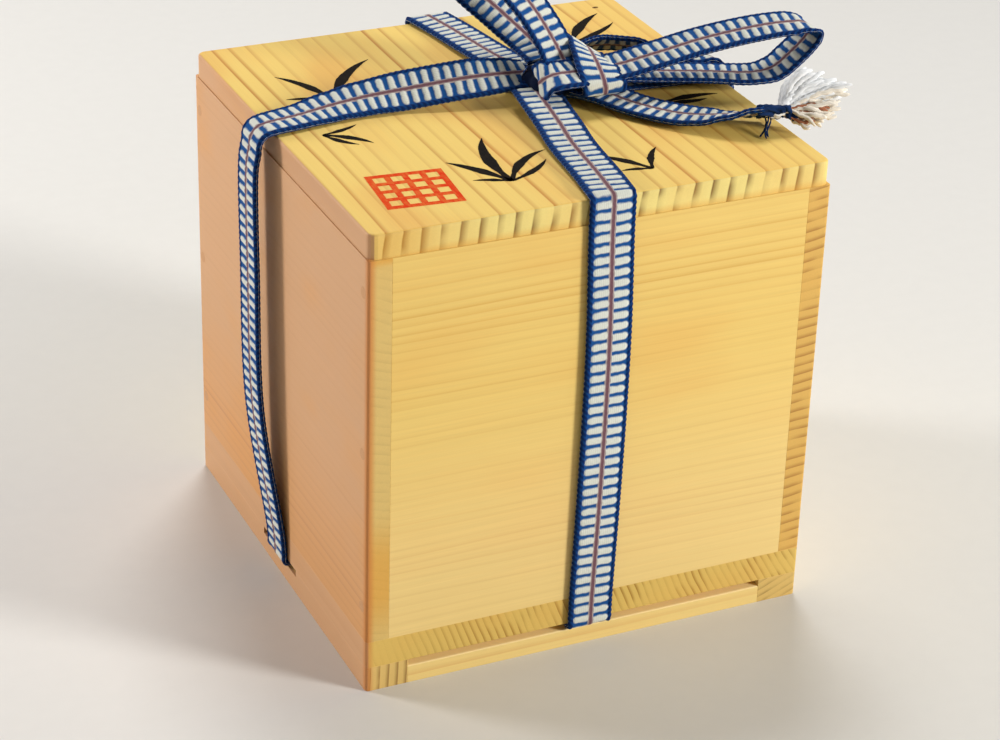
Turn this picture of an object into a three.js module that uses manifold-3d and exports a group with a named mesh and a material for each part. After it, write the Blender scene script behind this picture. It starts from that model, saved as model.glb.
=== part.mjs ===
// A small tomobako: a square wooden storage box for a cup, with a loose lid, four foot strips and a
// flat woven tape that passes under the base both ways and is tied in a bow on the lid.
// Millimetres, +Z up. The origin is on the ground under the middle of the box, the front looks to -Y.
import * as THREE from "three";
import { mergeVertices } from "three/addons/utils/BufferGeometryUtils.js";
import Module from "manifold-3d";

const wasm = await Module();
wasm.setup();

// Box sizes
const WIDTH = 91;
const DEPTH = 91;
const WALL_THICK = 4.5;
const WALL_HEIGHT = 77.5;
const BASE_THICK = 5.6;
const LID_THICK = 4.8;
const LID_INSET = 0.25;
const EASE = 0.5;
const CORNER_ROUND = 1.3;

// Feet: two long side feet with a tape notch each, and a lower rail between them at front and rear
const FOOT_HEIGHT = 5.1;
const FOOT_WIDE = 8.4;
const RAIL_WIDE = 8.4;
const SLIT_HIGH = 1.4;
const NOTCH_WIDE = 18;

// Lid battens, the ring under the lid that keeps it in place
const BATTEN_WIDE = 6;
const BATTEN_DEEP = 4.5;
const BATTEN_CLEAR = 0.5;

// Wooden pegs
const PEG_DIAMETER = 2;
const PEG_CLEAR = 0.3;
const PEG_SIDES = 12;
const WALL_PEG_LONG = 12;
const WALL_PEG_LOW = 6.8;
const FOOT_PEG_LONG = 9;
const FOOT_PEG_END = 14;
const BATTEN_PEG_LONG = 7;
const BATTEN_PEG_END = 16;
const WALL_PEG_SHARES = [0, 0.5, 1];

// Tape
const TAPE_WIDE = 9.1;
const TAPE_THICK = 1;
const TAPE_GAP = 0.2;
const TAPE_BEVEL = 0.3;
const TAPE_SPAN_STEPS = 3;
const TAPE_TURN_STEPS = 3;
const END_GAP = 0.3;
const RUN_LOW = 0.9;
const RUN_HIGH = 2.6;
const SEAT_GAP = 0.3;
const CROSS_DROP = 1.4;
const CROSS_REACH = 9;
const RUN_RISE_SHARES = [0, 0.04, 0.36, 0.7, 0.96, 1];

// Levels and faces that follow from the sizes
const BASE_LOW = FOOT_HEIGHT;
const WALL_LOW = BASE_LOW + BASE_THICK;
const WALL_TOP = WALL_LOW + WALL_HEIGHT;
const LID_TOP = WALL_TOP + LID_THICK;
const HALF_X = WIDTH / 2;
const HALF_Y = DEPTH / 2;
const INNER_X = HALF_X - WALL_THICK;
const INNER_Y = HALF_Y - WALL_THICK;
const TAPE_OFF = TAPE_GAP + TAPE_THICK / 2;
const MERGE_DISTANCE = 0.0001;

// The bow's route points, chosen by hand: x, y, height over the lid, then the way the tape faces.
// The knot's own strands
const WRAP_ROUTE = [
  [6.4, -2.2, 3.2, -1, 0, 0.1],
  [6.2, -4.2, 5.2, -0.9, -0.1, 0.4],
  [8.0, -5.6, 6.6, -0.2, -0.2, 1],
  [11.4, -5.8, 6.7, 0, -0.2, 1],
  [15.0, -5.2, 6.3, 0.15, -0.2, 1],
  [18.2, -4.2, 5.2, 0.4, -0.1, 0.9],
];
const LOBE_ROUTE = [
  [13.5, 2.8, 3.3, 0, 0, -1],
  [17.4, 6.0, 3.3, 0, 0.3, -1],
  [20.0, 8.4, 3.6, 0.2, 0.9, -0.5],
  [20.5, 8.8, 4.9, 0.7, 1, 0.4],
  [19.8, 6.8, 6.4, 0.85, 0.6, 0.8],
  [18.7, 2.8, 7.6, 0.7, 0.2, 0.9],
  [17.5, -1.8, 8.0, 0.35, -0.2, 0.95],
  [16.6, -6.5, 7.4, 0.1, -0.6, 0.9],
  [16.3, -9.8, 5.5, 0, -1, 0.4],
  [16.5, -9.9, 4.0, 0, -0.9, -0.5],
  [16.2, -7.6, 3.2, 0, -0.2, -1],
  [14.6, -4.0, 3.3, 0, 0, -1],
];
// The knot's packed middle: its centre and its three radii
const KNOT_CENTRE = [10.4, -0.4, 3.7];
const KNOT_RADII = [6.8, 7.4, 3.0];
// The stretches that lead to the knot over the lid
const FRONT_TOP_ROUTE = [
  [1.6, -38, 0.7, 0, 0, 1],
  [3.0, -24, 1.0, 0, 0, 1],
  [4.1, -16.5, 1.6, 0, -0.05, 1],
  [4.6, -10.8, 2.3, 0, -0.15, 1],
  [5.1, -5.6, 2.9, 0, -0.1, 1],
  [5.6, -2.4, 3.0, 0, 0, 1],
];
const LEFT_TOP_ROUTE = [
  [-39, 5.6, 0.9, -0.05, -0.05, 1],
  [-32, 6.6, 1.5, 0, -0.2, 1],
  [-26, 6.8, 2.1, 0, -0.35, 0.95],
  [-17, 6.0, 3.0, -0.05, -0.5, 0.85],
  [-5, 3.9, 4.4, 0, -0.5, 0.85],
  [2, 3.3, 4.4, 0.1, -0.4, 1],
  [6.4, 3.0, 4.2, 0.2, -0.2, 1],
];
const REAR_TOP_ROUTE = [
  [5.4, 38, 0.7, 0, 0, 1],
  [7.0, 24, 1.0, 0, 0, 1],
  [8.2, 12, 1.6, 0, 0, 1],
  [8.5, 7.0, 1.8, 0, 0, 1],
];
const RIGHT_TOP_ROUTE = [
  [38, 0.3, 0.7, 0, 0, 1],
  [26, 1.0, 0.7, 0, 0, 1],
  [17, 1.6, 0.7, 0, 0, 1],
  [11, 2.0, 0.8, 0, 0, 1],
];
// The two loops of the bow
const RIGHT_LOOP_ROUTE = [
  [13.0, -2.2, 5.8, -0.1, -0.15, 1],
  [20.0, -5.2, 6.6, -0.15, -0.15, 1],
  [29.0, -6.0, 8.2, -0.2, -0.14, 1],
  [38.5, -6.3, 9.9, -0.15, -0.14, 1],
  [48.0, -7.6, 11.4, -0.1, -0.14, 1],
  [55.0, -9.2, 12.2, 0, -0.12, 1],
  [58.8, -10.0, 11.9, 0.6, -0.1, 0.8],
  [59.9, -10.4, 10.6, 1, 0, -0.1],
  [58.6, -10.5, 8.8, 0.7, 0, -0.7],
  [55.4, -10.4, 5.9, 0.7, 0, -0.7],
  [52.6, -10.0, 3.7, 0.5, 0, -0.85],
  [49.0, -9.2, 2.8, 0.1, 0, -1],
  [40.0, -5.6, 2.8, 0, 0, -1],
  [29.0, -2.8, 3.4, 0, 0, -1],
  [18.0, -0.8, 4.4, 0, 0, -1],
];
const BACK_LOOP_ROUTE = [
  [12.4, -3.4, 5.0, 0.1, -0.6, 0.8],
  [11.9, -0.6, 7.6, 0.2, -0.7, 0.66],
  [10.9, 2.0, 10.6, 0.28, -0.64, 0.72],
  [9.3, 5.2, 14.4, 0.28, -0.62, 0.74],
  [6.8, 9.4, 18.8, 0.2, -0.6, 0.76],
  [3.2, 14.6, 23.6, 0.1, -0.55, 0.8],
  [-0.6, 20.4, 27.6, 0, -0.35, 0.9],
  [-3.8, 25.2, 29.2, -0.05, 0.2, 1],
  [-5.2, 28.2, 27.6, 0, 0.9, 0.4],
  [-4.2, 28.4, 24.0, 0.05, 1, -0.2],
  [-1.2, 25.8, 19.8, 0.1, 0.75, -0.6],
  [3.2, 21.2, 15.2, 0.15, 0.6, -0.8],
  [8.0, 16.0, 10.4, 0.15, 0.5, -0.85],
  [10.8, 11.8, 7.4, 0.1, 0.4, -0.9],
  [12.0, 6.0, 5.4, 0, 0.3, -1],
];
// The two free ends of the tape
const RIGHT_TAIL_ROUTE = [
  [15.5, -3.0, 2.1, 0, 0, 1],
  [18.6, -6.6, 1.8, 0, 0, 1],
  [21.5, -10.9, 1.3, 0, 0, 1],
  [24.4, -15.2, 1.2, 0, 0, 1],
  [27.8, -19.4, 1.3, 0, 0, 1],
  [31.0, -22.4, 1.7, 0.03, 0.06, 1],
  [34.7, -25.1, 2.4, 0.13, 0.25, 0.96],
  [38.2, -26.9, 3.1, 0.23, 0.41, 0.88],
  [40.4, -27.8, 3.5, 0.23, 0.41, 0.88],
];
const REAR_TAIL_ROUTE = [
  [15.5, 10.4, 1.9, 0, 0.2, 0.98],
  [21.0, 13.4, 3.4, 0, 0.55, 0.8],
  [27.0, 13.4, 3.8, 0, 0.6, 0.78],
  [33.0, 10.6, 3.6, 0.05, 0.6, 0.78],
  [38.6, 7.2, 2.8, 0.1, 0.35, 0.9],
  [43.0, 4.8, 2.0, 0.2, 0, 1],
  [46.8, 3.6, 1.3, 1, 0, 0.6],
  [48.6, 3.2, -1.6, 1, 0, 0.1],
  [48.9, 3.2, -7, 1, 0, 0],
  [48.7, 3.6, -17, 1, 0, 0],
];
// Frayed ends: route as above, with the bundle's width and thickness instead of the way it faces
const RIGHT_TASSEL_ROUTE = [
  [40.8, -27.96, 3.57, 7.2, 1.0],
  [43.8, -29.1, 3.9, 5.4, 2.6],
  [48.0, -29.6, 4.6, 9.8, 6.0],
  [52.5, -29.9, 5.3, 11.4, 7.2],
  [57.0, -30.3, 5.6, 6.4, 4.6],
];
const REAR_TASSEL_ROUTE = [
  [48.7, 3.62, -17.3, 8.4, 1.0],
  [48.8, 3.7, -20, 7.0, 1.8],
  [49.0, 3.8, -24, 8.6, 2.4],
  [49.0, 3.9, -28, 7.6, 2.2],
  [48.9, 4.0, -31, 4.0, 1.2],
];
const RIGHT_TASSEL_FACE = [0.23, 0.41, 0.88];
const REAR_TASSEL_FACE = [1, 0, 0];

// Stand-off from the wall and place along it, at each level of RUN_RISE_SHARES, chosen by hand
const FRONT_RUN = [[0, 0], [0, 0], [0.2, 0.6], [0.2, 0.9], [0, 0.5], [0, 0.5]];
const LEFT_RUN = [[0, -0.6], [0.2, -0.5], [2.9, 3.2], [3.1, 4.2], [2.9, 4.6], [2.3, 4.6]];
const REAR_RUN = [[0, 0.5], [0, 0.5], [0.2, 1.0], [0.2, 3.0], [0, 4.0], [0, 4.0]];
const RIGHT_RUN = [[0, 0], [0, 0], [0.2, 0], [0.2, 0], [0, 0], [0, 0]];

// Finishes
const WOOD = { color: 0xe6c27a, roughness: 0.62, metalness: 0 };
const WOOD_PINK = { color: 0xd8a97c, roughness: 0.64, metalness: 0 };
const WOOD_END = { color: 0xcfa562, roughness: 0.72, metalness: 0 };
const WOOD_PEG = { color: 0xb98b55, roughness: 0.7, metalness: 0 };
const TAPE = { color: 0x3f6296, roughness: 0.9, metalness: 0 };
const YARN = { color: 0xe7e3da, roughness: 0.95, metalness: 0 };

const root = new THREE.Group();

function addMesh(name, geometry, finish) {
  const mesh = new THREE.Mesh(geometry, new THREE.MeshStandardMaterial(finish));
  mesh.name = name;
  root.add(mesh);
}

// Joins and cuts
function toSolid(geometry) {
  const bare = geometry.index ? geometry.toNonIndexed() : geometry.clone();
  bare.deleteAttribute("normal");
  bare.deleteAttribute("uv");
  const merged = mergeVertices(bare, MERGE_DISTANCE);
  const vertProperties = new Float32Array(merged.attributes.position.array);
  const triVerts = new Uint32Array(merged.index.array);
  return new wasm.Manifold(new wasm.Mesh({ numProp: 3, vertProperties, triVerts }));
}

// The largest body of a solid, without the sealed hollows that joined strands may close off
function mainBody(solid) {
  return solid.decompose().reduce((best, body) => (body.volume() > best.volume() ? body : best));
}

function toGeometry(solid) {
  const mesh = mainBody(solid).getMesh();
  const geometry = new THREE.BufferGeometry();
  geometry.setAttribute("position", new THREE.BufferAttribute(mesh.vertProperties, 3));
  geometry.setIndex(new THREE.BufferAttribute(mesh.triVerts, 1));
  const flat = geometry.toNonIndexed();
  flat.computeVertexNormals();
  return flat;
}

function cutAll(geometry, tools) {
  let solid = toSolid(geometry);
  for (const tool of tools) solid = solid.subtract(toSolid(tool));
  return toGeometry(solid);
}

function joinAll(geometries) {
  let solid = toSolid(geometries[0]);
  for (const other of geometries.slice(1)) solid = solid.add(toSolid(other));
  return toGeometry(solid);
}

// Boards
function box(low, high) {
  const size = high.map((value, i) => value - low[i]);
  const geometry = new THREE.BoxGeometry(...size);
  return geometry.translate(...low.map((value, i) => value + size[i] / 2));
}

// A board whose plan outline is a list of x, y corners, standing from one level to another
function planBoard(corners, low, high) {
  const shape = new THREE.Shape(corners.map(([x, y]) => new THREE.Vector2(x, y)));
  const geometry = new THREE.ExtrudeGeometry(shape, { depth: high - low, bevelEnabled: false });
  return geometry.translate(0, 0, low);
}

// A rectangle in plan with its named corners cut off by the ease
function easedPlan(x0, y0, x1, y1, eased) {
  const corners = [
    ["front_left", x0, y0, 0, 1, 1, 0],
    ["front_right", x1, y0, -1, 0, 0, 1],
    ["rear_right", x1, y1, 0, -1, -1, 0],
    ["rear_left", x0, y1, 1, 0, 0, -1],
  ];
  const points = [];
  for (const [name, x, y, inX, inY, outX, outY] of corners) {
    if (eased.includes(name)) {
      points.push([x + inX * EASE, y + inY * EASE], [x + outX * EASE, y + outY * EASE]);
    } else {
      points.push([x, y]);
    }
  }
  return points;
}

// Pegs
function peg(from, direction, long, radius) {
  const geometry = new THREE.CylinderGeometry(radius, radius, long, PEG_SIDES);
  const turn = new THREE.Quaternion();
  const along = new THREE.Vector3(...direction);
  turn.setFromUnitVectors(new THREE.Vector3(0, 1, 0), along);
  const middle = new THREE.Vector3(...from).addScaledVector(along, long / 2);
  return geometry.applyQuaternion(turn).translate(middle.x, middle.y, middle.z);
}

function addPegs(name, places, direction, long) {
  places.forEach((from, i) => {
    addMesh(`${name}_${i + 1}`, peg(from, direction, long, PEG_DIAMETER / 2), WOOD_PEG);
  });
}

function pegHoles(places, direction, long) {
  const out = new THREE.Vector3(...direction).multiplyScalar(-PEG_CLEAR);
  return places.map((from) => {
    const mouth = [from[0] + out.x, from[1] + out.y, from[2] + out.z];
    return peg(mouth, direction, long + 2 * PEG_CLEAR, PEG_DIAMETER / 2 + PEG_CLEAR);
  });
}

// Wall pegs go through the side walls into the ends of the front and rear walls
function wallPegPlaces(sideX, endY) {
  const low = WALL_LOW + WALL_PEG_LOW;
  const rise = WALL_HEIGHT - 2 * WALL_PEG_LOW;
  return WALL_PEG_SHARES.map((share) => [sideX, endY, low + share * rise]);
}

const frontPegY = -HALF_Y + WALL_THICK / 2;
const WALL_PEGS = {
  front_left: [wallPegPlaces(-HALF_X, frontPegY), [1, 0, 0]],
  front_right: [wallPegPlaces(HALF_X, frontPegY), [-1, 0, 0]],
  rear_left: [wallPegPlaces(-HALF_X, -frontPegY), [1, 0, 0]],
  rear_right: [wallPegPlaces(HALF_X, -frontPegY), [-1, 0, 0]],
};

function wallPegHoles(names) {
  return names.flatMap((name) => pegHoles(WALL_PEGS[name][0], WALL_PEGS[name][1], WALL_PEG_LONG));
}

// Foot pegs go up through the side feet into the base
function footPegPlaces(side) {
  const x = side * (HALF_X - FOOT_WIDE / 2);
  const y = HALF_Y - FOOT_PEG_END;
  return [
    [x, -y, 0],
    [x, y, 0],
  ];
}

// Batten pegs go up through the battens into the lid
const BATTEN_LOW = WALL_TOP - BATTEN_DEEP;
const BATTEN_OUT_X = INNER_X - BATTEN_CLEAR;
const BATTEN_OUT_Y = INNER_Y - BATTEN_CLEAR;
function battenPegPlaces(name) {
  const endX = BATTEN_OUT_X - BATTEN_PEG_END;
  const endY = BATTEN_OUT_Y - BATTEN_PEG_END;
  const midX = BATTEN_OUT_X - BATTEN_WIDE / 2;
  const midY = BATTEN_OUT_Y - BATTEN_WIDE / 2;
  const rows = {
    front: [[-endX, -midY], [endX, -midY]],
    rear: [[-endX, midY], [endX, midY]],
    left: [[-midX, -endY], [-midX, endY]],
    right: [[midX, -endY], [midX, endY]],
  };
  return rows[name].map(([x, y]) => [x, y, BATTEN_LOW]);
}
const SIDES = ["front", "rear", "left", "right"];
const UP = [0, 0, 1];

// Box body
const leftWall = planBoard(
  easedPlan(-HALF_X, -HALF_Y, -INNER_X, HALF_Y, ["front_left", "rear_left"]), WALL_LOW, WALL_TOP);
const rightWall = planBoard(
  easedPlan(INNER_X, -HALF_Y, HALF_X, HALF_Y, ["front_right", "rear_right"]), WALL_LOW, WALL_TOP);
const frontWall = box([-INNER_X, -HALF_Y, WALL_LOW], [INNER_X, -INNER_Y, WALL_TOP]);
const rearWall = box([-INNER_X, INNER_Y, WALL_LOW], [INNER_X, HALF_Y, WALL_TOP]);
addMesh("left_wall", cutAll(leftWall, wallPegHoles(["front_left", "rear_left"])), WOOD_PINK);
addMesh("right_wall", cutAll(rightWall, wallPegHoles(["front_right", "rear_right"])), WOOD_PINK);
addMesh("front_wall", cutAll(frontWall, wallPegHoles(["front_left", "front_right"])), WOOD);
addMesh("rear_wall", cutAll(rearWall, wallPegHoles(["rear_left", "rear_right"])), WOOD);
for (const [name, [places, direction]] of Object.entries(WALL_PEGS)) {
  addPegs(`${name}_wall_peg`, places, direction, WALL_PEG_LONG);
}

const baseCorners = ["front_left", "front_right", "rear_left", "rear_right"];
const baseBoard = planBoard(easedPlan(-HALF_X, -HALF_Y, HALF_X, HALF_Y, baseCorners), BASE_LOW, WALL_LOW);
const footPegs = { left: footPegPlaces(-1), right: footPegPlaces(1) };
const footHoles = [...footPegs.left, ...footPegs.right];
addMesh("base_board", cutAll(baseBoard, pegHoles(footHoles, UP, FOOT_PEG_LONG)), WOOD_END);

// Feet
function sideFoot(side) {
  const outer = side * HALF_X;
  const inner = side * (HALF_X - FOOT_WIDE);
  const eased = side < 0 ? ["front_left", "rear_left"] : ["front_right", "rear_right"];
  const plan = easedPlan(Math.min(outer, inner), -HALF_Y, Math.max(outer, inner), HALF_Y, eased);
  const blank = planBoard(plan, 0, FOOT_HEIGHT);
  const notchX = HALF_X + TAPE_THICK;
  const notch = box(
    [-notchX, -NOTCH_WIDE / 2, FOOT_HEIGHT - SLIT_HIGH],
    [notchX, NOTCH_WIDE / 2, FOOT_HEIGHT + SLIT_HIGH],
  );
  const name = side < 0 ? "left" : "right";
  return cutAll(blank, [notch, ...pegHoles(footPegs[name], UP, FOOT_PEG_LONG)]);
}
addMesh("left_foot", sideFoot(-1), WOOD_END);
addMesh("right_foot", sideFoot(1), WOOD_END);
addPegs("left_foot_peg", footPegs.left, UP, FOOT_PEG_LONG);
addPegs("right_foot_peg", footPegs.right, UP, FOOT_PEG_LONG);

const railX = HALF_X - FOOT_WIDE;
const railTop = FOOT_HEIGHT - SLIT_HIGH;
addMesh("front_foot_rail", box([-railX, -HALF_Y, 0], [railX, RAIL_WIDE - HALF_Y, railTop]), WOOD);
addMesh("rear_foot_rail", box([-railX, HALF_Y - RAIL_WIDE, 0], [railX, HALF_Y, railTop]), WOOD);

// Lid board: round corners in plan, eased top and bottom edges
function lidBoard() {
  const x = HALF_X - LID_INSET - EASE;
  const y = HALF_Y - LID_INSET - EASE;
  const round = CORNER_ROUND;
  const shape = new THREE.Shape();
  shape.moveTo(-x + round, -y);
  shape.lineTo(x - round, -y);
  shape.absarc(x - round, -y + round, round, -Math.PI / 2, 0);
  shape.lineTo(x, y - round);
  shape.absarc(x - round, y - round, round, 0, Math.PI / 2);
  shape.lineTo(-x + round, y);
  shape.absarc(-x + round, y - round, round, Math.PI / 2, Math.PI);
  shape.lineTo(-x, -y + round);
  shape.absarc(-x + round, -y + round, round, Math.PI, 1.5 * Math.PI);
  const geometry = new THREE.ExtrudeGeometry(shape, {
    depth: LID_THICK - 2 * EASE,
    bevelThickness: EASE,
    bevelSize: EASE,
    bevelSegments: 2,
    curveSegments: 4,
  });
  return geometry.translate(0, 0, WALL_TOP + EASE);
}
const battenPegs = Object.fromEntries(SIDES.map((name) => [name, battenPegPlaces(name)]));
const lidHoles = pegHoles(SIDES.flatMap((name) => battenPegs[name]), UP, BATTEN_PEG_LONG);
addMesh("lid_board", cutAll(lidBoard(), lidHoles), WOOD);

const battenInX = BATTEN_OUT_X - BATTEN_WIDE;
const battenInY = BATTEN_OUT_Y - BATTEN_WIDE;
const BATTENS = {
  front: [[-BATTEN_OUT_X, -BATTEN_OUT_Y], [BATTEN_OUT_X, -battenInY]],
  rear: [[-BATTEN_OUT_X, battenInY], [BATTEN_OUT_X, BATTEN_OUT_Y]],
  left: [[-BATTEN_OUT_X, -battenInY], [-battenInX, battenInY]],
  right: [[battenInX, -battenInY], [BATTEN_OUT_X, battenInY]],
};
for (const name of SIDES) {
  const [low, high] = BATTENS[name];
  const blank = box([...low, BATTEN_LOW], [...high, WALL_TOP]);
  const holes = pegHoles(battenPegs[name], UP, BATTEN_PEG_LONG);
  addMesh(`lid_batten_${name}`, cutAll(blank, holes), WOOD);
  addPegs(`batten_peg_${name}`, battenPegs[name], UP, BATTEN_PEG_LONG);
}

// Tape: a flat section with bevelled edges, carried along a smooth route and turned to face as given
function smoothRows(rows, steps) {
  const places = new THREE.CatmullRomCurve3(rows.map((r) => new THREE.Vector3(r[0], r[1], r[2])));
  const faces = new THREE.CatmullRomCurve3(
    rows.map((r) => new THREE.Vector3(r[3], r[4], r[5])), false, "catmullrom");
  const count = steps * (rows.length - 1);
  const found = [];
  for (let i = 0; i <= count; i++) {
    found.push([places.getPoint(i / count), faces.getPoint(i / count)]);
  }
  return found;
}

// The outline of the tape's section, as across and through offsets
function tapeSection(wide, thick, bevel) {
  const w = wide / 2;
  const t = thick / 2;
  const b = Math.min(bevel, t, w);
  return [
    [w, t - b], [w - b, t], [b - w, t], [-w, t - b],
    [-w, b - t], [b - w, -t], [w - b, -t], [w, b - t],
  ].filter(([x, y], i, all) => i === 0 || x !== all[i - 1][0] || y !== all[i - 1][1]);
}

// A closed body through the sections, which all have as many points
function loft(frames) {
  const sides = frames[0].section.length;
  const points = [];
  for (const { place, across, through, section } of frames) {
    for (const [x, y] of section) {
      points.push(place.clone().addScaledVector(across, x).addScaledVector(through, y));
    }
  }
  const first = points.length;
  points.push(frames[0].place.clone(), frames[frames.length - 1].place.clone());
  const faces = [];
  const last = (frames.length - 1) * sides;
  for (let i = 0; i < sides; i++) {
    const j = (i + 1) % sides;
    faces.push(first, i, j, first + 1, last + j, last + i);
    for (let k = 0; k < last; k += sides) {
      faces.push(k + i, k + sides + j, k + j, k + i, k + sides + i, k + sides + j);
    }
  }
  const geometry = new THREE.BufferGeometry().setFromPoints(points);
  geometry.setIndex(faces);
  return geometry.toNonIndexed();
}

function tapeFrames(found, sectionAt) {
  return found.map(([place, face], i) => {
    const before = found[Math.max(i - 1, 0)][0];
    const after = found[Math.min(i + 1, found.length - 1)][0];
    const along = after.clone().sub(before).normalize();
    const across = along.clone().cross(face).normalize();
    const through = across.clone().cross(along).normalize();
    return { place, across, through, section: sectionAt(i) };
  });
}

function tape(found, grow = 0) {
  const section = tapeSection(TAPE_WIDE + 2 * grow, TAPE_THICK + 2 * grow, TAPE_BEVEL);
  return loft(tapeFrames(found, () => section));
}

function onLid(rows) {
  return rows.map((r) => [r[0], r[1], LID_TOP + r[2], ...r.slice(3)]);
}

// The knot: a packed middle, the strand wrapped over it and the one that folds over its right side
function knotBody(grow) {
  const [x, y, z] = KNOT_CENTRE;
  const middle = new THREE.SphereGeometry(1, 14, 9);
  middle.scale(...KNOT_RADII.map((radius) => radius + grow)).translate(x, y, LID_TOP + z);
  const wrap = tape(smoothRows(onLid(WRAP_ROUTE), TAPE_SPAN_STEPS), grow);
  const lobe = tape(smoothRows(onLid(LOBE_ROUTE), TAPE_SPAN_STEPS), grow);
  return joinAll([middle, wrap, lobe]);
}
addMesh("knot", knotBody(0), TAPE);
const knotRoom = knotBody(SEAT_GAP);

// Each stretch of the bow ends on the knot
function bowPiece(name, route) {
  addMesh(name, cutAll(tape(smoothRows(onLid(route), TAPE_SPAN_STEPS)), [knotRoom]), TAPE);
}
bowPiece("right_loop", RIGHT_LOOP_ROUTE);
bowPiece("back_loop", BACK_LOOP_ROUTE);
bowPiece("right_tail", RIGHT_TAIL_ROUTE);
bowPiece("rear_tail", REAR_TAIL_ROUTE);

function tassel(name, route, face) {
  const rows = onLid(route.map((r) => [...r.slice(0, 3), ...face]));
  const found = smoothRows(rows, 1);
  const sections = route.map((r) => tapeSection(r[3], r[4], TAPE_BEVEL));
  addMesh(name, loft(tapeFrames(found, (i) => sections[i])), YARN);
}
tassel("right_tassel", RIGHT_TASSEL_ROUTE, RIGHT_TASSEL_FACE);
tassel("rear_tassel", REAR_TASSEL_ROUTE, REAR_TASSEL_FACE);

// The four sides of the box: outward direction, the direction along the wall, half size outward
const FACES = {
  front: { out: [0, -1], along: [1, 0], half: HALF_Y, run: FRONT_RUN, top: FRONT_TOP_ROUTE },
  rear: { out: [0, 1], along: [1, 0], half: HALF_Y, run: REAR_RUN, top: REAR_TOP_ROUTE },
  left: { out: [-1, 0], along: [0, 1], half: HALF_X, run: LEFT_RUN, top: LEFT_TOP_ROUTE },
  right: { out: [1, 0], along: [0, 1], half: HALF_X, run: RIGHT_RUN, top: RIGHT_TOP_ROUTE },
};

// A place given by its distance out from the box's middle and along its wall, facing out and up
function wallRow(face, outward, along, z, faceOut, faceUp) {
  const [ox, oy] = face.out;
  const [ax, ay] = face.along;
  return [ox * outward + ax * along, oy * outward + ay * along, z, ox * faceOut, oy * faceOut, faceUp];
}

// A quarter turn round an edge: from facing down or up to facing out, looser by the run's stand-off
function edgeTurn(face, along, level, vertical, off = 0) {
  const radius = TAPE_OFF + off;
  const rows = [];
  for (let i = 0; i <= TAPE_TURN_STEPS; i++) {
    const angle = (Math.PI / 2) * (i / TAPE_TURN_STEPS);
    const outward = face.half + radius * Math.sin(angle);
    const z = level + vertical * (radius * Math.cos(angle) - off);
    rows.push(wallRow(face, outward, along, z, Math.sin(angle), vertical * Math.cos(angle)));
  }
  return rows;
}

// Under the base, from one side's wall to the other's. The lower of the two dips below the other
function underTape(name, near, far, drop) {
  const level = BASE_LOW - TAPE_OFF;
  const rise = (face) => wallRow(face, face.half + TAPE_OFF, face.run[0][1], BASE_LOW + RUN_LOW, 1, 0);
  const nearTurn = edgeTurn(near, near.run[0][1], BASE_LOW, -1).reverse();
  const farTurn = edgeTurn(far, far.run[0][1], BASE_LOW, -1);
  const flat = (face) => wallRow(face, face.half - FOOT_WIDE - TAPE_THICK, face.run[0][1], level, 0, -1);
  const dip = (face) => wallRow(face, CROSS_REACH, face.run[0][1], level - drop, 0, -1);
  const middle = [flat(near), dip(near), dip(far), flat(far)];
  const rows = [rise(near), ...nearTurn, ...middle, ...farTurn, rise(far)];
  addMesh(name, tape(smoothRows(rows, 2)), TAPE);
}
underTape("tape_under_front_to_rear", FACES.front, FACES.rear, 0);
underTape("tape_under_left_to_right", FACES.left, FACES.right, CROSS_DROP);

// Up the wall, and over the lid's edge to the knot
function runAndTop(name, face) {
  const low = BASE_LOW + RUN_LOW + END_GAP;
  const high = LID_TOP - RUN_HIGH - END_GAP;
  const runRows = face.run.map(([off, along], i) => {
    const z = low + RUN_RISE_SHARES[i] * (high - low);
    return wallRow(face, face.half + TAPE_OFF + off, along, z, 1, 0);
  });
  addMesh(`tape_${name}_run`, tape(smoothRows(runRows, TAPE_SPAN_STEPS)), TAPE);
  const [lastOff, lastAlong] = face.run[face.run.length - 1];
  const start = wallRow(face, face.half + TAPE_OFF + lastOff, lastAlong, LID_TOP - RUN_HIGH, 1, 0);
  const turn = edgeTurn(face, lastAlong, LID_TOP, 1, lastOff).reverse();
  const rows = [start, ...turn, ...onLid(face.top)];
  addMesh(`tape_${name}_top`, cutAll(tape(smoothRows(rows, TAPE_SPAN_STEPS)), [knotRoom]), TAPE);
}
for (const [name, face] of Object.entries(FACES)) runAndTop(name, face);

export default root;
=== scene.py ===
"""A small tomobako: a square wooden storage box with a loose lid and a flat woven tape tied in a bow.

The sizes in this file are millimetres where a name or a note says so, and MM turns them into metres.
"""

import math
from collections import namedtuple
from functools import partialmethod

import bmesh
import bpy
import numpy as np
from mathutils import Matrix, Vector


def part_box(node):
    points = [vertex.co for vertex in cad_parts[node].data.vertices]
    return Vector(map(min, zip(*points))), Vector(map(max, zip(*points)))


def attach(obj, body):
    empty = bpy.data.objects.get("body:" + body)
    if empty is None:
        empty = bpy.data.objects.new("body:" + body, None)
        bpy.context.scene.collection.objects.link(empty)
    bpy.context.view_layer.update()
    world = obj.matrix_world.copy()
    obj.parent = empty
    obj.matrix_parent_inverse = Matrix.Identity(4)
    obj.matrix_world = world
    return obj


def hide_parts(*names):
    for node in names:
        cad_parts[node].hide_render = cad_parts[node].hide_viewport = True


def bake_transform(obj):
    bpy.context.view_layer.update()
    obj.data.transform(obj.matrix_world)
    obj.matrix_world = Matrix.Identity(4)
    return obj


MM = 0.001

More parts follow.
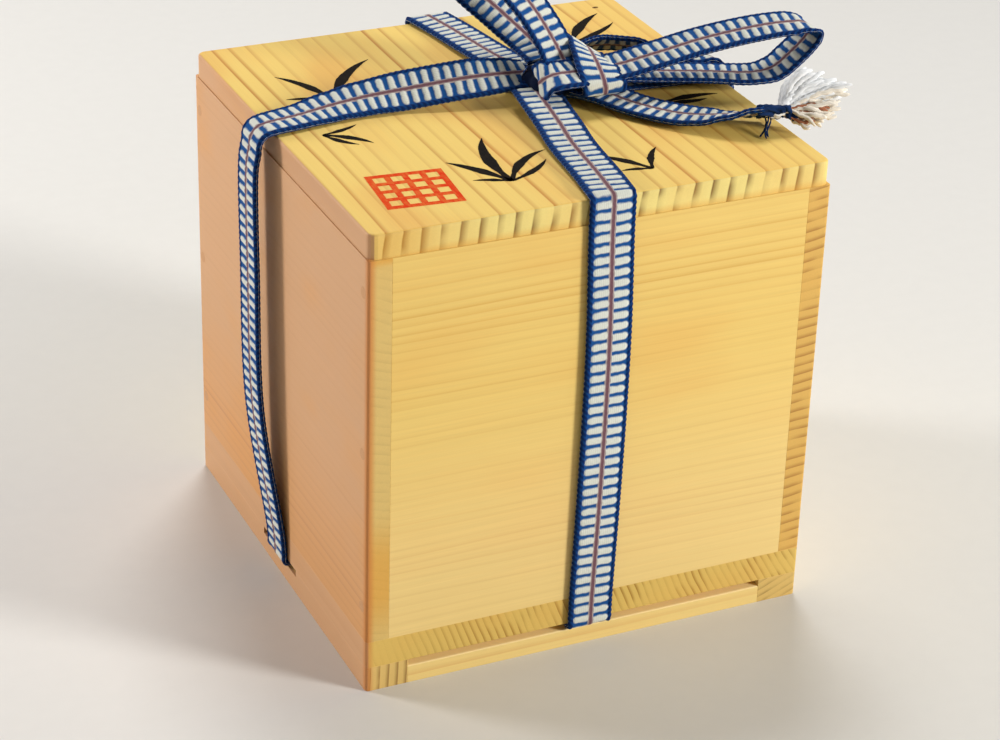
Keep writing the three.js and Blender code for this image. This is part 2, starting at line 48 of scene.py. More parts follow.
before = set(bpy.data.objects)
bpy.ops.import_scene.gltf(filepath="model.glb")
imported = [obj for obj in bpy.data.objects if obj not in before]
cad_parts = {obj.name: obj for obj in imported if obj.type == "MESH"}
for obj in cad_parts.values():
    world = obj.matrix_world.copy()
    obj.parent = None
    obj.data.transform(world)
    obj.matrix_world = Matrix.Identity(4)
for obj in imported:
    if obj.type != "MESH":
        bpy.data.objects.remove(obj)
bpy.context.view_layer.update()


def node_box(node):
    """A CAD node's lowest and highest corners in millimetres."""
    low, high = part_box(node)
    return np.array(low) / MM, np.array(high) / MM


LID_LOW, LID_HIGH = node_box("lid_board")
BASE_MIN, BASE_MAX = node_box("base_board")
FOOT_MIN, FOOT_MAX = node_box("left_foot")
LID_TOP = LID_HIGH[2]
BASE_LOW = BASE_MIN[2]
HALF_X = BASE_MAX[0]
HALF_Y = BASE_MAX[1]
FOOT_WIDE = FOOT_MAX[0] - FOOT_MIN[0]

# Camera

CAMERA_AZIMUTH = -25.19
CAMERA_ELEVATION = 27.92
CAMERA_ROLL = 1.82
CAMERA_LENS = 99.95
CAMERA_SENSOR = 36
CAMERA_PLACE = (-205.9, -440.5, 293.9)
CAMERA_NEAR = 0.01
CAMERA_FAR = 50


def make_camera():
    data = bpy.data.cameras.new("camera")
    data.lens = CAMERA_LENS
    data.sensor_width = CAMERA_SENSOR
    data.clip_start = CAMERA_NEAR
    data.clip_end = CAMERA_FAR
    camera = bpy.data.objects.new("camera", data)
    bpy.context.scene.collection.objects.link(camera)
    angles = (CAMERA_AZIMUTH, CAMERA_ELEVATION, CAMERA_ROLL)
    azimuth, elevation, roll = (math.radians(angle) for angle in angles)
    level = math.cos(elevation)
    back = Vector((math.sin(azimuth) * level, -math.cos(azimuth) * level, math.sin(elevation)))
    right = (-back).cross(Vector((0, 0, 1))).normalized()
    up = right.cross(-back)
    rolled_right = math.cos(roll) * right + math.sin(roll) * up
    rolled_up = math.cos(roll) * up - math.sin(roll) * right
    turn = Matrix((rolled_right, rolled_up, back)).transposed()
    camera.matrix_world = Matrix.Translation(Vector(CAMERA_PLACE) * MM) @ turn.to_4x4()
    bpy.context.scene.camera = camera


# Short calls for shader nodes


def add_node(tree, kind, inputs, output=0, **settings):
    """A new node's output as a Value. inputs holds Values and constants by the socket's name or number."""
    node = tree.nodes.new(kind)
    for key, value in settings.items():
        setattr(node, key, value)
    for key, value in inputs.items():
        plug(tree, value, node.inputs[key])
    return Value(tree, node.outputs[output])


def plug(tree, value, socket):
    if isinstance(value, Value):
        tree.links.new(value.socket, socket)
    else:
        socket.default_value = value


class Value:
    """A number or colour in a node tree. Python's operators on it make Math nodes."""

    def __init__(self, tree, socket):
        self.tree = tree
        self.socket = socket

    def math(self, operation, *others):
        inputs = dict(enumerate((self, *others)))
        return add_node(self.tree, "ShaderNodeMath", inputs, operation=operation)

    __add__ = partialmethod(math, "ADD")
    __sub__ = partialmethod(math, "SUBTRACT")
    __mul__ = partialmethod(math, "MULTIPLY")
    __truediv__ = partialmethod(math, "DIVIDE")
    __abs__ = partialmethod(math, "ABSOLUTE")

    def __rsub__(self, other):
        return self * -1 + other

    def step(self, start, end):
        """0 where this is at start and 1 at end, smoothly."""
        inputs = {"Value": self, "From Min": start, "From Max": end}
        return add_node(self.tree, "ShaderNodeMapRange", inputs, "Result", interpolation_type="SMOOTHSTEP")


def colour(value):
    """A screen colour of 0 to 255 as the linear colour that the shader takes."""
    if isinstance(value, Value):
        return value
    linear = [((c / 255 + 0.055) / 1.055) ** 2.4 if c > 10 else c / 255 / 12.92 for c in value]
    return (*linear, 1)


class Finish:
    """A material with a Principled shader, and the nodes that feed it."""

    def __init__(self, name, roughness, specular=0.35, sheen=0.0):
        self.material = bpy.data.materials.new(name)
        self.material.use_nodes = True
        self.tree = self.material.node_tree
        self.inputs = self.tree.nodes["Principled BSDF"].inputs
        self.inputs["Roughness"].default_value = roughness
        self.inputs["Specular IOR Level"].default_value = specular
        self.inputs["Sheen Weight"].default_value = sheen

    def attribute(self, name):
        return add_node(self.tree, "ShaderNodeAttribute", {}, "Fac", attribute_name=name)

    def place(self, scale=(1, 1, 1), shift=(0, 0, 0)):
        """Object coordinates in millimetres, scaled and shifted."""
        coords = add_node(self.tree, "ShaderNodeTexCoord", {}, "Object")
        inputs = {"Vector": coords, "Scale": [s / MM for s in scale], "Location": shift}
        return add_node(self.tree, "ShaderNodeMapping", inputs)

    def noise(self, place, size=1.0, detail=2.0, rough=0.5):
        """Noise from 0 to 1, whose grains are about size wide."""
        inputs = {"Vector": place, "Scale": 1 / size, "Detail": detail, "Roughness": rough}
        return add_node(self.tree, "ShaderNodeTexNoise", inputs, "Fac")

    def vector_math(self, operation, inputs, output):
        return add_node(self.tree, "ShaderNodeVectorMath", inputs, output, operation=operation)

    def toward(self, axis):
        """How squarely the surface faces toward an axis, -1 to 1."""
        normal = add_node(self.tree, "ShaderNodeNewGeometry", {}, "Normal")
        return self.vector_math("DOT_PRODUCT", {0: normal, 1: axis}, "Value")

    def distance(self, axes, middle=(0, 0, 0)):
        """Millimetres from the middle, counted along the axes only."""
        shift = [-m * a for m, a in zip(middle, axes, strict=True)]
        return self.vector_math("LENGTH", {0: self.place(axes, shift)}, "Value")

    def brighten(self, base, value):
        """The base colour times 1 at value 1."""
        return self.vector_math("SCALE", {0: base, "Scale": value}, "Vector")

    def ramp(self, value, stops):
        """A grey level that follows the stops, given as place and level."""
        node = self.tree.nodes.new("ShaderNodeValToRGB")
        plug(self.tree, value, node.inputs["Fac"])
        elements = node.color_ramp.elements
        while len(elements) < len(stops):
            elements.new(0.5)
        for element, (place, level) in zip(elements, stops, strict=True):
            element.position = place
            element.color = (level, level, level, 1)
        return Value(self.tree, node.outputs["Color"])

    def mix(self, share, first, second):
        """A colour between two. A colour is a Value, or red, green and blue from 0 to 255."""
        inputs = {0: share, 6: colour(first), 7: colour(second)}
        return add_node(self.tree, "ShaderNodeMix", inputs, 2, data_type="RGBA")

    def finish(self, base, height, depth=0.05, strength=1.0, rough=None):
        plug(self.tree, colour(base), self.inputs["Base Color"])
        if rough is not None:
            plug(self.tree, rough, self.inputs["Roughness"])
        inputs = {"Strength": strength, "Distance": depth * MM, "Height": height}
        plug(self.tree, add_node(self.tree, "ShaderNodeBump", inputs, "Normal"), self.inputs["Normal"])
        return self.material


# Wood

WOOD_SEED = 11
SEED_SHIFT = np.array([3.1, 7.7, 5.3])
LATE_WOOD = [(0, 0.03), (0.5, 0.1), (0.82, 0.75), (0.92, 1), (0.98, 0.12), (1, 0.03)]
FINE_LATE_WOOD = [(0, 0.12), (0.4, 0.2), (0.72, 0.55), (0.86, 1), (0.94, 0.4), (1, 0.12)]
THIN_LATE_WOOD = [(0, 0), (0.66, 0.04), (0.86, 0.8), (0.93, 1), (0.98, 0.15), (1, 0)]

# Sizes of the noises across and along the grain, and how far the rings bend with them
SLOW_BEND = (26, 160)
BEND_REACH = 5
RIPPLE = (5, 60)
RIPPLE_REACH = 0.5
UNEVEN_RINGS = 1.7
UNEVEN_LONG = 300
CLUSTER = (10, 240)
FIBRE = (0.28, 22)
BLOTCH = (16, 45)
WARM_PATCH = (17, 30)
END_PATCH = 6

# Distances at which a tone sets in and is full
LEFT_SKIN = (4, 3)
LEFT_EDGE = (0.6, 0.45)
HANDLED_REACH = (1.9, 0.5)
SEAM_SHADE_REACH = (1.7, 0.2)
CLEAR_REACH = (5, 30)
STREAK_HEIGHTS = (46, 12)
PALE_LOW_HEIGHTS = (64, 16)

GOLD = (236, 202, 116)
GOLD_LINE = (214, 164, 78)
PALE = (238, 208, 130)
HONEY = (222, 160, 74)
# The pink tones of the box's left side are painted light from the left, with the wood's own grain on them.
LEFT_LIGHT_TINT = (213, 166, 122)
LEFT_LIGHT_TINT_LINE = (190, 134, 92)
LEFT_LIGHT_TINT_WARM = (220, 160, 98)
HANDLED = (206, 130, 62)
AMBER = (222, 156, 48)
PALE_LOW_TONE = (242, 214, 152)
DUSK = (140, 102, 48)

# Early wood is light and late wood dark. line and end_line say how strong the late wood is along the grain
# and on the end grain, sway how far the rings wander, honey how much of a warmer tone drifts in, handled how
# brown the box's front left corner is, bleached how pale a board is low down, top the tone of its upper
# faces, painted light that brightens a rail's top in the slit under the base, clear that the rings fade by
# its left end, streaks how much darker the rings and warmer the wood are low on the box's left side, and
# stain the x, z, reach and strength of an amber stain on the end grain; at that strength a
# painted shadow in amber also follows the lid's lower edge, where the lid meets the walls.
PLAIN_WOOD = dict(light=GOLD, dark=GOLD_LINE, line=0.5, late_wood=LATE_WOOD, end_light=None, end_dark=DUSK,
                  end_line=0.9, sway=1.0, honey=0.3, handled=0.0, bleached=0.0, stain=None, top=None,
                  clear=False, streaks=0.0)
# The pith is a point on the line that the rings go round, and ring is the width of one
WOODS = {
    "lid": dict(grain="y", pith=(260, 0, 60), ring=3.5, light=(238, 204, 110), dark=(188, 128, 44),
                line=1.0, late_wood=THIN_LATE_WOOD, end_light=(240, 218, 134), end_dark=(126, 92, 38),
                end_line=1.0, sway=0.7, honey=0.55, handled=0.25, stain=(-HALF_X, 90, 17, 0.35)),
    "front": dict(grain="x", pith=(0, 30, 300), ring=1.75, dark=(212, 160, 72), line=0.72,
                  late_wood=FINE_LATE_WOOD, bleached=0.5),
    "rear": dict(grain="x", pith=(0, -30, 260), ring=2.3),
    "left": dict(grain="y", pith=(40, 0, 320), ring=1.8, end_light=(220, 188, 114),
                 end_line=0.15, sway=0.8, handled=0.8, stain=(-43.5, 24, 15, 0.6), streaks=0.7),
    "right": dict(grain="y", pith=(20, 0, 260), ring=2.0, end_light=(220, 176, 92),
                  end_dark=(160, 106, 44), end_line=0.8, sway=0.6),
    "base": dict(grain="y", pith=(150, 0, 70), ring=1.4, end_light=(222, 188, 100), end_dark=(160, 112, 36),
                 end_line=0.95, sway=0.6, honey=0.5, handled=0.6, clear=True),
    "foot_left": dict(grain="y", pith=(-210, 0, 10), ring=1.8, light=PALE, end_light=(226, 192, 116),
                      sway=0.3, handled=0.7),
    "foot_right": dict(grain="y", pith=(5, 0, 90), ring=1.5, light=PALE, end_light=(218, 184, 108),
                       end_line=0.8, sway=0.3),
    "rail": dict(grain="x", pith=(0, -30, 300), ring=2.6, light=(240, 210, 134), dark=(226, 178, 104),
                 line=0.6, top=(255, 226, 160)),
    "batten": dict(grain="x", pith=(0, 200, 260), ring=2.4, light=PALE),
}


class Wood(Finish):
    """Softwood whose values are its own, or else those of PLAIN_WOOD."""

    def __init__(self, name, seed, own):
        super().__init__(name, 0.6, specular=0.3)
        vars(self).update(PLAIN_WOOD | own)
        self.along = np.array([float(axis == self.grain) for axis in "xyz"])
        self.across = 1 - self.along
        self.shift = SEED_SHIFT * (seed + WOOD_SEED)
        self.from_left = self.distance((1, 0, 0), (-HALF_X, 0, 0))
        self.from_ground = self.distance((0, 0, 1))
        self.fibre = self.grain_noise(FIBRE, detail=3, rough=0.6)
        self.blotch = self.grain_noise(BLOTCH, 3)
        self.phase = self.ring_phase()
        self.late = self.ramp(self.phase, self.late_wood)
        self.marks = self.late * self.late_strength()

    def grain_noise(self, size, turn=1, detail=2, rough=0.5):
        """Noise with grains of a size across and along the wood's grain."""
        wide, long = size
        place = self.place(self.across / wide + self.along / long, self.shift * turn)
        return self.noise(place, detail=detail, rough=rough)

    def ring_phase(self):
        """0 to 1 through each ring, outward from the pith."""
        radius = self.distance(self.across, self.pith)
        wander = (self.grain_noise(SLOW_BEND) - 0.5) * (self.sway * BEND_REACH / self.ring)
        ripple = (self.grain_noise(RIPPLE) - 0.5) * (self.sway * RIPPLE_REACH / self.ring)
        return (radius / self.ring + wander + ripple).math("FRACT")

    def late_strength(self):
        """How strong the late wood is along the grain, where it comes and goes in clusters."""
        uneven = self.grain_noise((self.ring * UNEVEN_RINGS, UNEVEN_LONG), 2, detail=1).step(0.3, 0.66)
        clusters = self.grain_noise(CLUSTER, 5, detail=1).step(0.38, 0.62)
        return (uneven * 0.75 + 0.25) * (clusters * 0.7 + 0.4)

    def face(self):
        tone = self.mix(self.marks * self.line, self.light, self.dark)
        tone = self.mix(self.blotch.step(0.45, 0.8) * self.honey, tone, HONEY)
        if self.bleached:
            tone = self.mix(self.from_ground.step(*PALE_LOW_HEIGHTS) * self.bleached, tone, PALE_LOW_TONE)
        # top paints light on upward faces: a rail's top, seen in the slit under the base, lighter and more
        # peach.
        if self.top:
            tone = self.mix(self.toward((0, 0, 1)).step(0.2, 0.7), tone, self.top)
        return tone

    def end_grain(self):
        patches = self.noise(self.place(self.across / END_PATCH, self.shift * 4), detail=1)
        strength = patches.step(0.34, 0.6) * 0.75 + 0.25
        if self.clear:
            strength = strength * (self.from_left.step(*CLEAR_REACH) * 0.8 + 0.2)
        late = self.ramp(self.phase, LATE_WOOD) * strength * self.end_line
        tone = self.mix(late, self.end_light or self.light, self.end_dark)
        tone = self.mix(self.blotch.step(0.4, 0.75) * self.honey * 0.5, tone, HONEY)
        if self.stain:
            x, z, reach, strength = self.stain
            patch = self.distance((1, 0, 1), (x, 0, z)).step(reach, reach * 0.2)
            # A painted shadow in amber along the lid's lower edge, where the lid meets the walls.
            seam_shade = self.distance((0, 0, 1), (0, 0, LID_LOW[2])).step(*SEAM_SHADE_REACH)
            tone = self.mix(patch.math("MAXIMUM", seam_shade) * strength, tone, AMBER)
        return tone

    # The pink of the box's left side is painted light; its grain, warm patches and low streaks are the wood's
    # own.
    def painted_left_light(self):
        low = self.from_ground.step(*STREAK_HEIGHTS) * self.streaks
        warm = self.grain_noise(WARM_PATCH, 6).step(0.5, 0.72)
        tone = self.mix(warm * 0.5 + low, LEFT_LIGHT_TINT, LEFT_LIGHT_TINT_WARM)
        return self.mix(self.marks * (low + 0.35) * self.line + self.blotch * 0.15, tone, LEFT_LIGHT_TINT_LINE)

    def build(self):
        """The material, with its face, end grain and the painted pink light of its left side each where it
        belongs.
        """
        is_end = abs(self.toward(self.along)).step(0.6, 0.85)
        # Where the painted pink light of the box's left side goes: faces toward -x near the left, and the
        # left edge.
        faces_left = self.toward((-1, 0, 0)).step(0.25, 0.7) * self.from_left.step(*LEFT_SKIN)
        left_light_mask = faces_left.math("MAXIMUM", self.from_left.step(*LEFT_EDGE))
        body = self.mix(left_light_mask, self.mix(is_end, self.face(), self.end_grain()), self.painted_left_light())
        if self.handled:
            corner = self.distance((1, 1, 0), (-HALF_X, -HALF_Y, 0))
            body = self.mix(corner.step(*HANDLED_REACH) * self.handled, body, HANDLED)
        tone = (self.fibre - 0.5) * 0.13 + (self.blotch - 0.5) * 0.1 + 1
        height = self.late * (1 - is_end) * 0.4 + self.fibre * 0.6
        return self.finish(self.brighten(body, tone), height, depth=0.03, strength=0.35,
                           rough=self.fibre * 0.18 + 0.5)


def peg_wood(name, tone, shade):
    made = Finish(name, 0.65)
    rings = made.noise(made.place(), size=0.5, detail=3)
    return made.finish(made.mix(rings, tone, shade), rings, depth=0.03)


# Woven tape, in millimetres

TAPE_HALF = 4.55
CORD_RADIUS = 0.53
CORD_MIDDLE = TAPE_HALF - CORD_RADIUS
RUNG_OUT = 3.62
TIGHT_RUNG = 0.69
RUNG_HALF = 0.58
RUNG_PITCH = 2.15
RUNG_RISE = 0.2
RUNG_STAGGER = 0.32
BODY_HEIGHT = 0.34
LINE_HALF = 0.32
LINE_HEIGHT = 0.46
LINE_SWELL = 0.03
FLANK_OUT = 0.56
STITCH = 1.12
STITCH_SWELL = 0.1
STITCH_SLANT = 0.35
SCALLOP = 0.1
TAPE_STEP = 0.28
SMOOTH_STEPS = 60
COLUMN_HALVES = [0, 0.15, 0.27, 0.36, 0.56, 0.95, 1.6, 2.3, 2.85, 3.15, 3.36, 3.5]
CORD_TURNS = [-62, -30, -6, 18, 42, 64, 80]


def tape_columns():
    """Places across the tape's face, from one edge to the other."""
    cord = [CORD_MIDDLE + CORD_RADIUS * math.sin(math.radians(a)) for a in CORD_TURNS]
    half = COLUMN_HALVES + cord
    return np.array([-TAPE_HALF] + [-a for a in half[:0:-1]] + half + [TAPE_HALF])


def tape_height(u, v, back, half):
    """How far the woven face stands off the tape's middle plane, at u across and v along."""
    a = np.abs(u)
    side = np.where((u > 0) != back, RUNG_STAGGER, 0.0)
    phase = v / RUNG_PITCH + side
    away = (phase - np.floor(phase) - 0.5) * RUNG_PITCH
    past = np.maximum(a - (RUNG_OUT - half), 0)
    rung = np.sqrt(np.clip(1 - (away**2 + past**2) / half**2, 0, 1))
    body = BODY_HEIGHT + RUNG_RISE * rung
    line = LINE_HEIGHT + LINE_SWELL * np.cos(2 * np.pi * v / STITCH)
    body = np.where(a < FLANK_OUT, line, body)
    body = np.where(a > RUNG_OUT + 0.1, 0, body)
    stitch = 1 + STITCH_SWELL * np.cos(2 * np.pi * (v + STITCH_SLANT * a) / STITCH)
    cord = np.sqrt(np.clip(CORD_RADIUS**2 - (a - CORD_MIDDLE) ** 2, 0, None)) * stitch
    return np.maximum(body, cord)


def spline(rows):
    """A centripetal Catmull-Rom curve through the rows: fine places and the way that the tape faces there."""
    rows = np.array(rows, float)
    ends = [2 * rows[0] - rows[1], *rows, 2 * rows[-1] - rows[-2]]
    places, faces = [], []
    for i in range(len(rows) - 1):
        p0, p1, p2, p3 = (r[:3] for r in ends[i : i + 4])
        d0, d1, d2 = (max(np.linalg.norm(b - a), 1e-4) ** 0.5 for a, b in ((p0, p1), (p1, p2), (p2, p3)))
        m1 = ((p1 - p0) / d0 - (p2 - p0) / (d0 + d1) + (p2 - p1) / d1) * d1
        m2 = ((p2 - p1) / d1 - (p3 - p1) / (d1 + d2) + (p3 - p2) / d2) * d1
        t = np.arange(SMOOTH_STEPS)[:, None] / SMOOTH_STEPS
        places.append((2 * t**3 - 3 * t**2 + 1) * p1 + (t**3 - 2 * t**2 + t) * m1
                      + (3 * t**2 - 2 * t**3) * p2 + (t**3 - t**2) * m2)
        share = t * t * (3 - 2 * t)
        faces.append(rows[i, 3:] * (1 - share) + rows[i + 1, 3:] * share)
    return np.vstack([*places, rows[-1:, :3]]), np.vstack([*faces, rows[-1:, 3:]])


def unit(rows):
    return rows / np.linalg.norm(rows, axis=1)[:, None]


def run_lengths(line):
    """How far along the line each of its points is."""
    return np.concatenate([[0], np.cumsum(np.linalg.norm(np.diff(line, axis=0), axis=1))])


def even_frames(rows):
    """Places at even steps along the route, and there the directions across, through and along the tape."""
    places, faces = spline(rows)
    gone = run_lengths(places)
    at = np.linspace(0, gone[-1], round(gone[-1] / TAPE_STEP))
    even = np.stack([np.interp(at, gone, places[:, k]) for k in range(3)], 1)
    face = np.stack([np.interp(at, gone, faces[:, k]) for k in range(3)], 1)
    tangent = unit(np.gradient(even, axis=0))
    across = unit(np.cross(tangent, face))
    through = np.cross(across, tangent)
    return at, even, across, through, tangent


def linked(name, mesh, material, smooth):
    """An object of the mesh, in the scene."""
    mesh.materials.append(material)
    if smooth:
        mesh.shade_smooth()
    piece = bpy.data.objects.new(name, mesh)
    bpy.context.scene.collection.objects.link(piece)
    return piece


def new_object(name, points, faces, material, smooth=True):
    """A mesh object from points in millimetres."""
    mesh = bpy.data.meshes.new(name)
    mesh.from_pydata((np.asarray(points) * MM).tolist(), [], faces)
    return linked(name, mesh, material, smooth)


def ring_faces(rings, sides):
    """Quads that join rings of points into a closed tube, with a fan on each end."""
    here = np.arange(sides)
    after = (here + 1) % sides
    last_ring = (rings - 1) * sides
    quads = [np.stack([k + here, k + after, k + sides + after, k + sides + here], 1)
             for k in range(0, last_ring, sides)]
    tip = np.full(sides, rings * sides)
    fans = [np.stack([tip, after, here], 1), np.stack([tip + 1, last_ring + here, last_ring + after], 1)]
    return np.vstack(quads).tolist() + np.vstack(fans).tolist()


def stacked(tubes, faces):
    """The points and faces of tubes that each have the same faces."""
    count = len(tubes[0])
    return np.vstack(tubes), [[n * count + i for i in face] for n in range(len(tubes)) for face in faces]


def ribbon(name, rows, material, half=RUNG_HALF):
    """A stretch of the woven tape along the route, with its relief. Returns the piece and its centreline."""
    gone, place, across, through, _ = even_frames(rows)
    columns = tape_columns()
    u = np.concatenate([columns, columns[-2:0:-1]])
    back = (np.arange(len(u)) >= len(columns))[None, :]
    uu, vv = np.meshgrid(u, gone)
    height = tape_height(uu, vv, back, half)
    height[:, [0, len(columns) - 1]] = 0
    height = np.where(back, -height, height)
    swell = 1 + SCALLOP / TAPE_HALF * np.cos(2 * np.pi * vv / STITCH) * (np.abs(uu) / TAPE_HALF) ** 6
    points = place[:, None] + across[:, None] * (uu * swell)[:, :, None]
    points = points + through[:, None] * height[:, :, None]
    flat = np.vstack([points.reshape(-1, 3), place[0], place[-1]])
    piece = new_object(name, flat, ring_faces(len(gone), len(u)), material)
    values = {"across": np.where(back, -uu, uu), "along": vv, "rung": np.full(uu.shape, half)}
    tips = {"across": [0, 0], "along": [gone[0], gone[-1]], "rung": [half, half]}
    for key, value in values.items():
        attribute = piece.data.attributes.new(key, "FLOAT", "POINT")
        attribute.data.foreach_set("value", np.append(value.ravel(), tips[key]).astype(np.float32))
    return piece, place * MM


NAVY = (9, 36, 86)
# NAVY_LIGHT is a painted highlight on the border's stitches, and one of the tones of the gaps between rungs.
NAVY_LIGHT = (20, 68, 130)
GAP_BLUE = (34, 90, 156)
CREAM = (228, 230, 220)
CREAM_SHADE = (190, 195, 186)
FLANK = (176, 160, 158)
BROWN = (118, 84, 92)
RUNG_BLUR = 0.2
LINE_BLUR = 0.09
THREAD = 0.42


def tape_cloth():
    made = Finish("tape_cloth", 0.9, specular=0.06, sheen=0.03)
    place = made.place()
    wobble = made.noise(place, size=0.9, detail=1) - 0.5
    u = made.attribute("across") + wobble * 0.2
    v = made.attribute("along") + (made.noise(place, size=1.3, detail=1) - 0.5) * 0.4
    a = abs(u)
    fuzz = made.noise(place, size=0.16)
    soil = made.noise(place, size=7)
    side = u.math("GREATER_THAN", 0.0) * RUNG_STAGGER
    away = (abs((v / RUNG_PITCH + side).math("FRACT") - 0.5)) * RUNG_PITCH
    half = made.attribute("rung")
    past = (a + half - RUNG_OUT).math("MAXIMUM", 0.0)
    reach = (away * away + past * past).math("SQRT") - half + (fuzz - 0.5) * 0.14
    rung = reach.step(RUNG_BLUR, -RUNG_BLUR)
    groove = abs((u / THREAD).math("FRACT") - 0.5).step(0.34, 0.5)
    cream = made.mix(groove * 0.4 + soil * 0.35 + (fuzz - 0.5) * 0.6, CREAM, CREAM_SHADE)
    body = made.mix(rung, made.mix(fuzz, NAVY_LIGHT, GAP_BLUE), cream)
    for edge, tone in ((FLANK_OUT, FLANK), (LINE_HALF, BROWN)):
        body = made.mix(a.step(edge + LINE_BLUR, edge - LINE_BLUR), body, tone)
    # The border's chain of stitches is the weave's own pattern; its lighter navy on each stitch is a painted
    # highlight.
    chain = abs(((v + a * 0.9) / STITCH).math("FRACT") - 0.5)
    border = made.mix(chain.step(0.12, 0.46) * 0.75 + (fuzz - 0.5) * 0.4, NAVY, NAVY_LIGHT)
    body = made.mix(a.step(RUNG_OUT - 0.04, RUNG_OUT + 0.14), body, border)
    height = fuzz + groove * rung * -0.6 + chain * -0.5
    return made.finish(body, height, depth=0.07, strength=0.8)


# The tape's routes over the lid: x, y, height over the lid in millimetres, and the way that the tape faces

WRAP_ROUTE = [
    [6.4, -2.2, 3.2, -1, 0, 0.1], [6.2, -4.2, 5.2, -0.9, -0.1, 0.4],
    [8.0, -5.6, 6.6, -0.2, -0.2, 1], [11.4, -5.8, 6.7, 0, -0.2, 1],
    [15.0, -5.2, 6.3, 0.15, -0.2, 1], [18.2, -4.2, 5.2, 0.4, -0.1, 0.9],
]
LOBE_ROUTE = [
    [13.5, 2.8, 3.3, 0, 0, -1], [17.4, 6.0, 3.3, 0, 0.3, -1],
    [20.0, 8.4, 3.6, 0.2, 0.9, -0.5], [20.5, 8.8, 4.9, 0.7, 1, 0.4],
    [19.8, 6.8, 6.4, 0.85, 0.6, 0.8], [18.7, 2.8, 7.6, 0.7, 0.2, 0.9],
    [17.5, -1.8, 8.0, 0.35, -0.2, 0.95], [16.6, -6.5, 7.4, 0.1, -0.6, 0.9],
    [16.3, -9.8, 5.5, 0, -1, 0.4], [16.5, -9.9, 4.0, 0, -0.9, -0.5],
    [16.2, -7.6, 3.2, 0, -0.2, -1], [14.6, -4.0, 3.3, 0, 0, -1],
]
FRONT_TOP_ROUTE = [
    [1.6, -38, 0.7, 0, 0, 1], [3.0, -24, 1.0, 0, 0, 1],
    [4.1, -16.5, 1.6, 0, -0.05, 1], [4.6, -10.8, 2.3, 0, -0.15, 1],
    [5.1, -5.6, 2.9, 0, -0.1, 1], [5.6, -2.4, 3.0, 0, 0, 1],
]
LEFT_TOP_ROUTE = [
    [-39, 5.6, 0.9, -0.05, -0.05, 1], [-32, 6.6, 1.5, 0, -0.2, 1],
    [-26, 6.8, 2.1, 0, -0.35, 0.95], [-17, 6.0, 3.0, -0.05, -0.5, 0.85],
    [-5, 3.9, 4.4, 0, -0.5, 0.85], [2, 3.3, 4.4, 0.1, -0.4, 1],
    [6.4, 3.0, 4.2, 0.2, -0.2, 1],
]
REAR_TOP_ROUTE = [
    [5.4, 38, 0.7, 0, 0, 1], [7.0, 24, 1.0, 0, 0, 1],
    [8.2, 12, 1.6, 0, 0, 1], [8.5, 7.0, 1.8, 0, 0, 1],
]
RIGHT_TOP_ROUTE = [
    [38, 0.3, 0.7, 0, 0, 1], [26, 1.0, 0.7, 0, 0, 1],
    [17, 1.6, 0.7, 0, 0, 1], [11, 2.0, 0.8, 0, 0, 1],
]
RIGHT_LOOP_ROUTE = [
    [13.0, -2.2, 5.8, -0.1, -0.15, 1], [20.0, -5.2, 6.6, -0.15, -0.15, 1],
    [29.0, -6.0, 8.2, -0.2, -0.14, 1], [38.5, -6.3, 9.9, -0.15, -0.14, 1],
    [48.0, -7.6, 11.4, -0.1, -0.14, 1], [55.0, -9.2, 12.2, 0, -0.12, 1],
    [58.8, -10.0, 11.9, 0.6, -0.1, 0.8], [59.9, -10.4, 10.6, 1, 0, -0.1],
    [58.6, -10.5, 8.8, 0.7, 0, -0.7], [55.4, -10.4, 5.9, 0.7, 0, -0.7],
    [52.6, -10.0, 3.7, 0.5, 0, -0.85], [49.0, -9.2, 2.8, 0.1, 0, -1],
    [40.0, -5.6, 2.8, 0, 0, -1], [29.0, -2.8, 3.4, 0, 0, -1],
    [18.0, -0.8, 4.4, 0, 0, -1],
]
BACK_LOOP_ROUTE = [
    [12.4, -3.4, 5.0, 0.1, -0.6, 0.8], [11.9, -0.6, 7.6, 0.2, -0.7, 0.66],
    [10.9, 2.0, 10.6, 0.28, -0.64, 0.72], [9.3, 5.2, 14.4, 0.28, -0.62, 0.74],
    [6.8, 9.4, 18.8, 0.2, -0.6, 0.76], [3.2, 14.6, 23.6, 0.1, -0.55, 0.8],
    [-0.6, 20.4, 27.6, 0, -0.35, 0.9], [-3.8, 25.2, 29.2, -0.05, 0.2, 1],
    [-5.2, 28.2, 27.6, 0, 0.9, 0.4], [-4.2, 28.4, 24.0, 0.05, 1, -0.2],
    [-1.2, 25.8, 19.8, 0.1, 0.75, -0.6], [3.2, 21.2, 15.2, 0.15, 0.6, -0.8],
    [8.0, 16.0, 10.4, 0.15, 0.5, -0.85], [10.8, 11.8, 7.4, 0.1, 0.4, -0.9],
    [12.0, 6.0, 5.4, 0, 0.3, -1],
]
RIGHT_TAIL_ROUTE = [
    [15.5, -3.0, 2.1, 0, 0, 1], [18.6, -6.6, 1.8, 0, 0, 1],
    [21.5, -10.9, 1.3, 0, 0, 1], [24.4, -15.2, 1.2, 0, 0, 1],
    [27.8, -19.4, 1.3, 0, 0, 1], [31.0, -22.4, 1.7, 0.03, 0.06, 1],
    [34.7, -25.1, 2.4, 0.13, 0.25, 0.96], [38.2, -26.9, 3.1, 0.23, 0.41, 0.88],
    [40.4, -27.8, 3.5, 0.23, 0.41, 0.88],
]
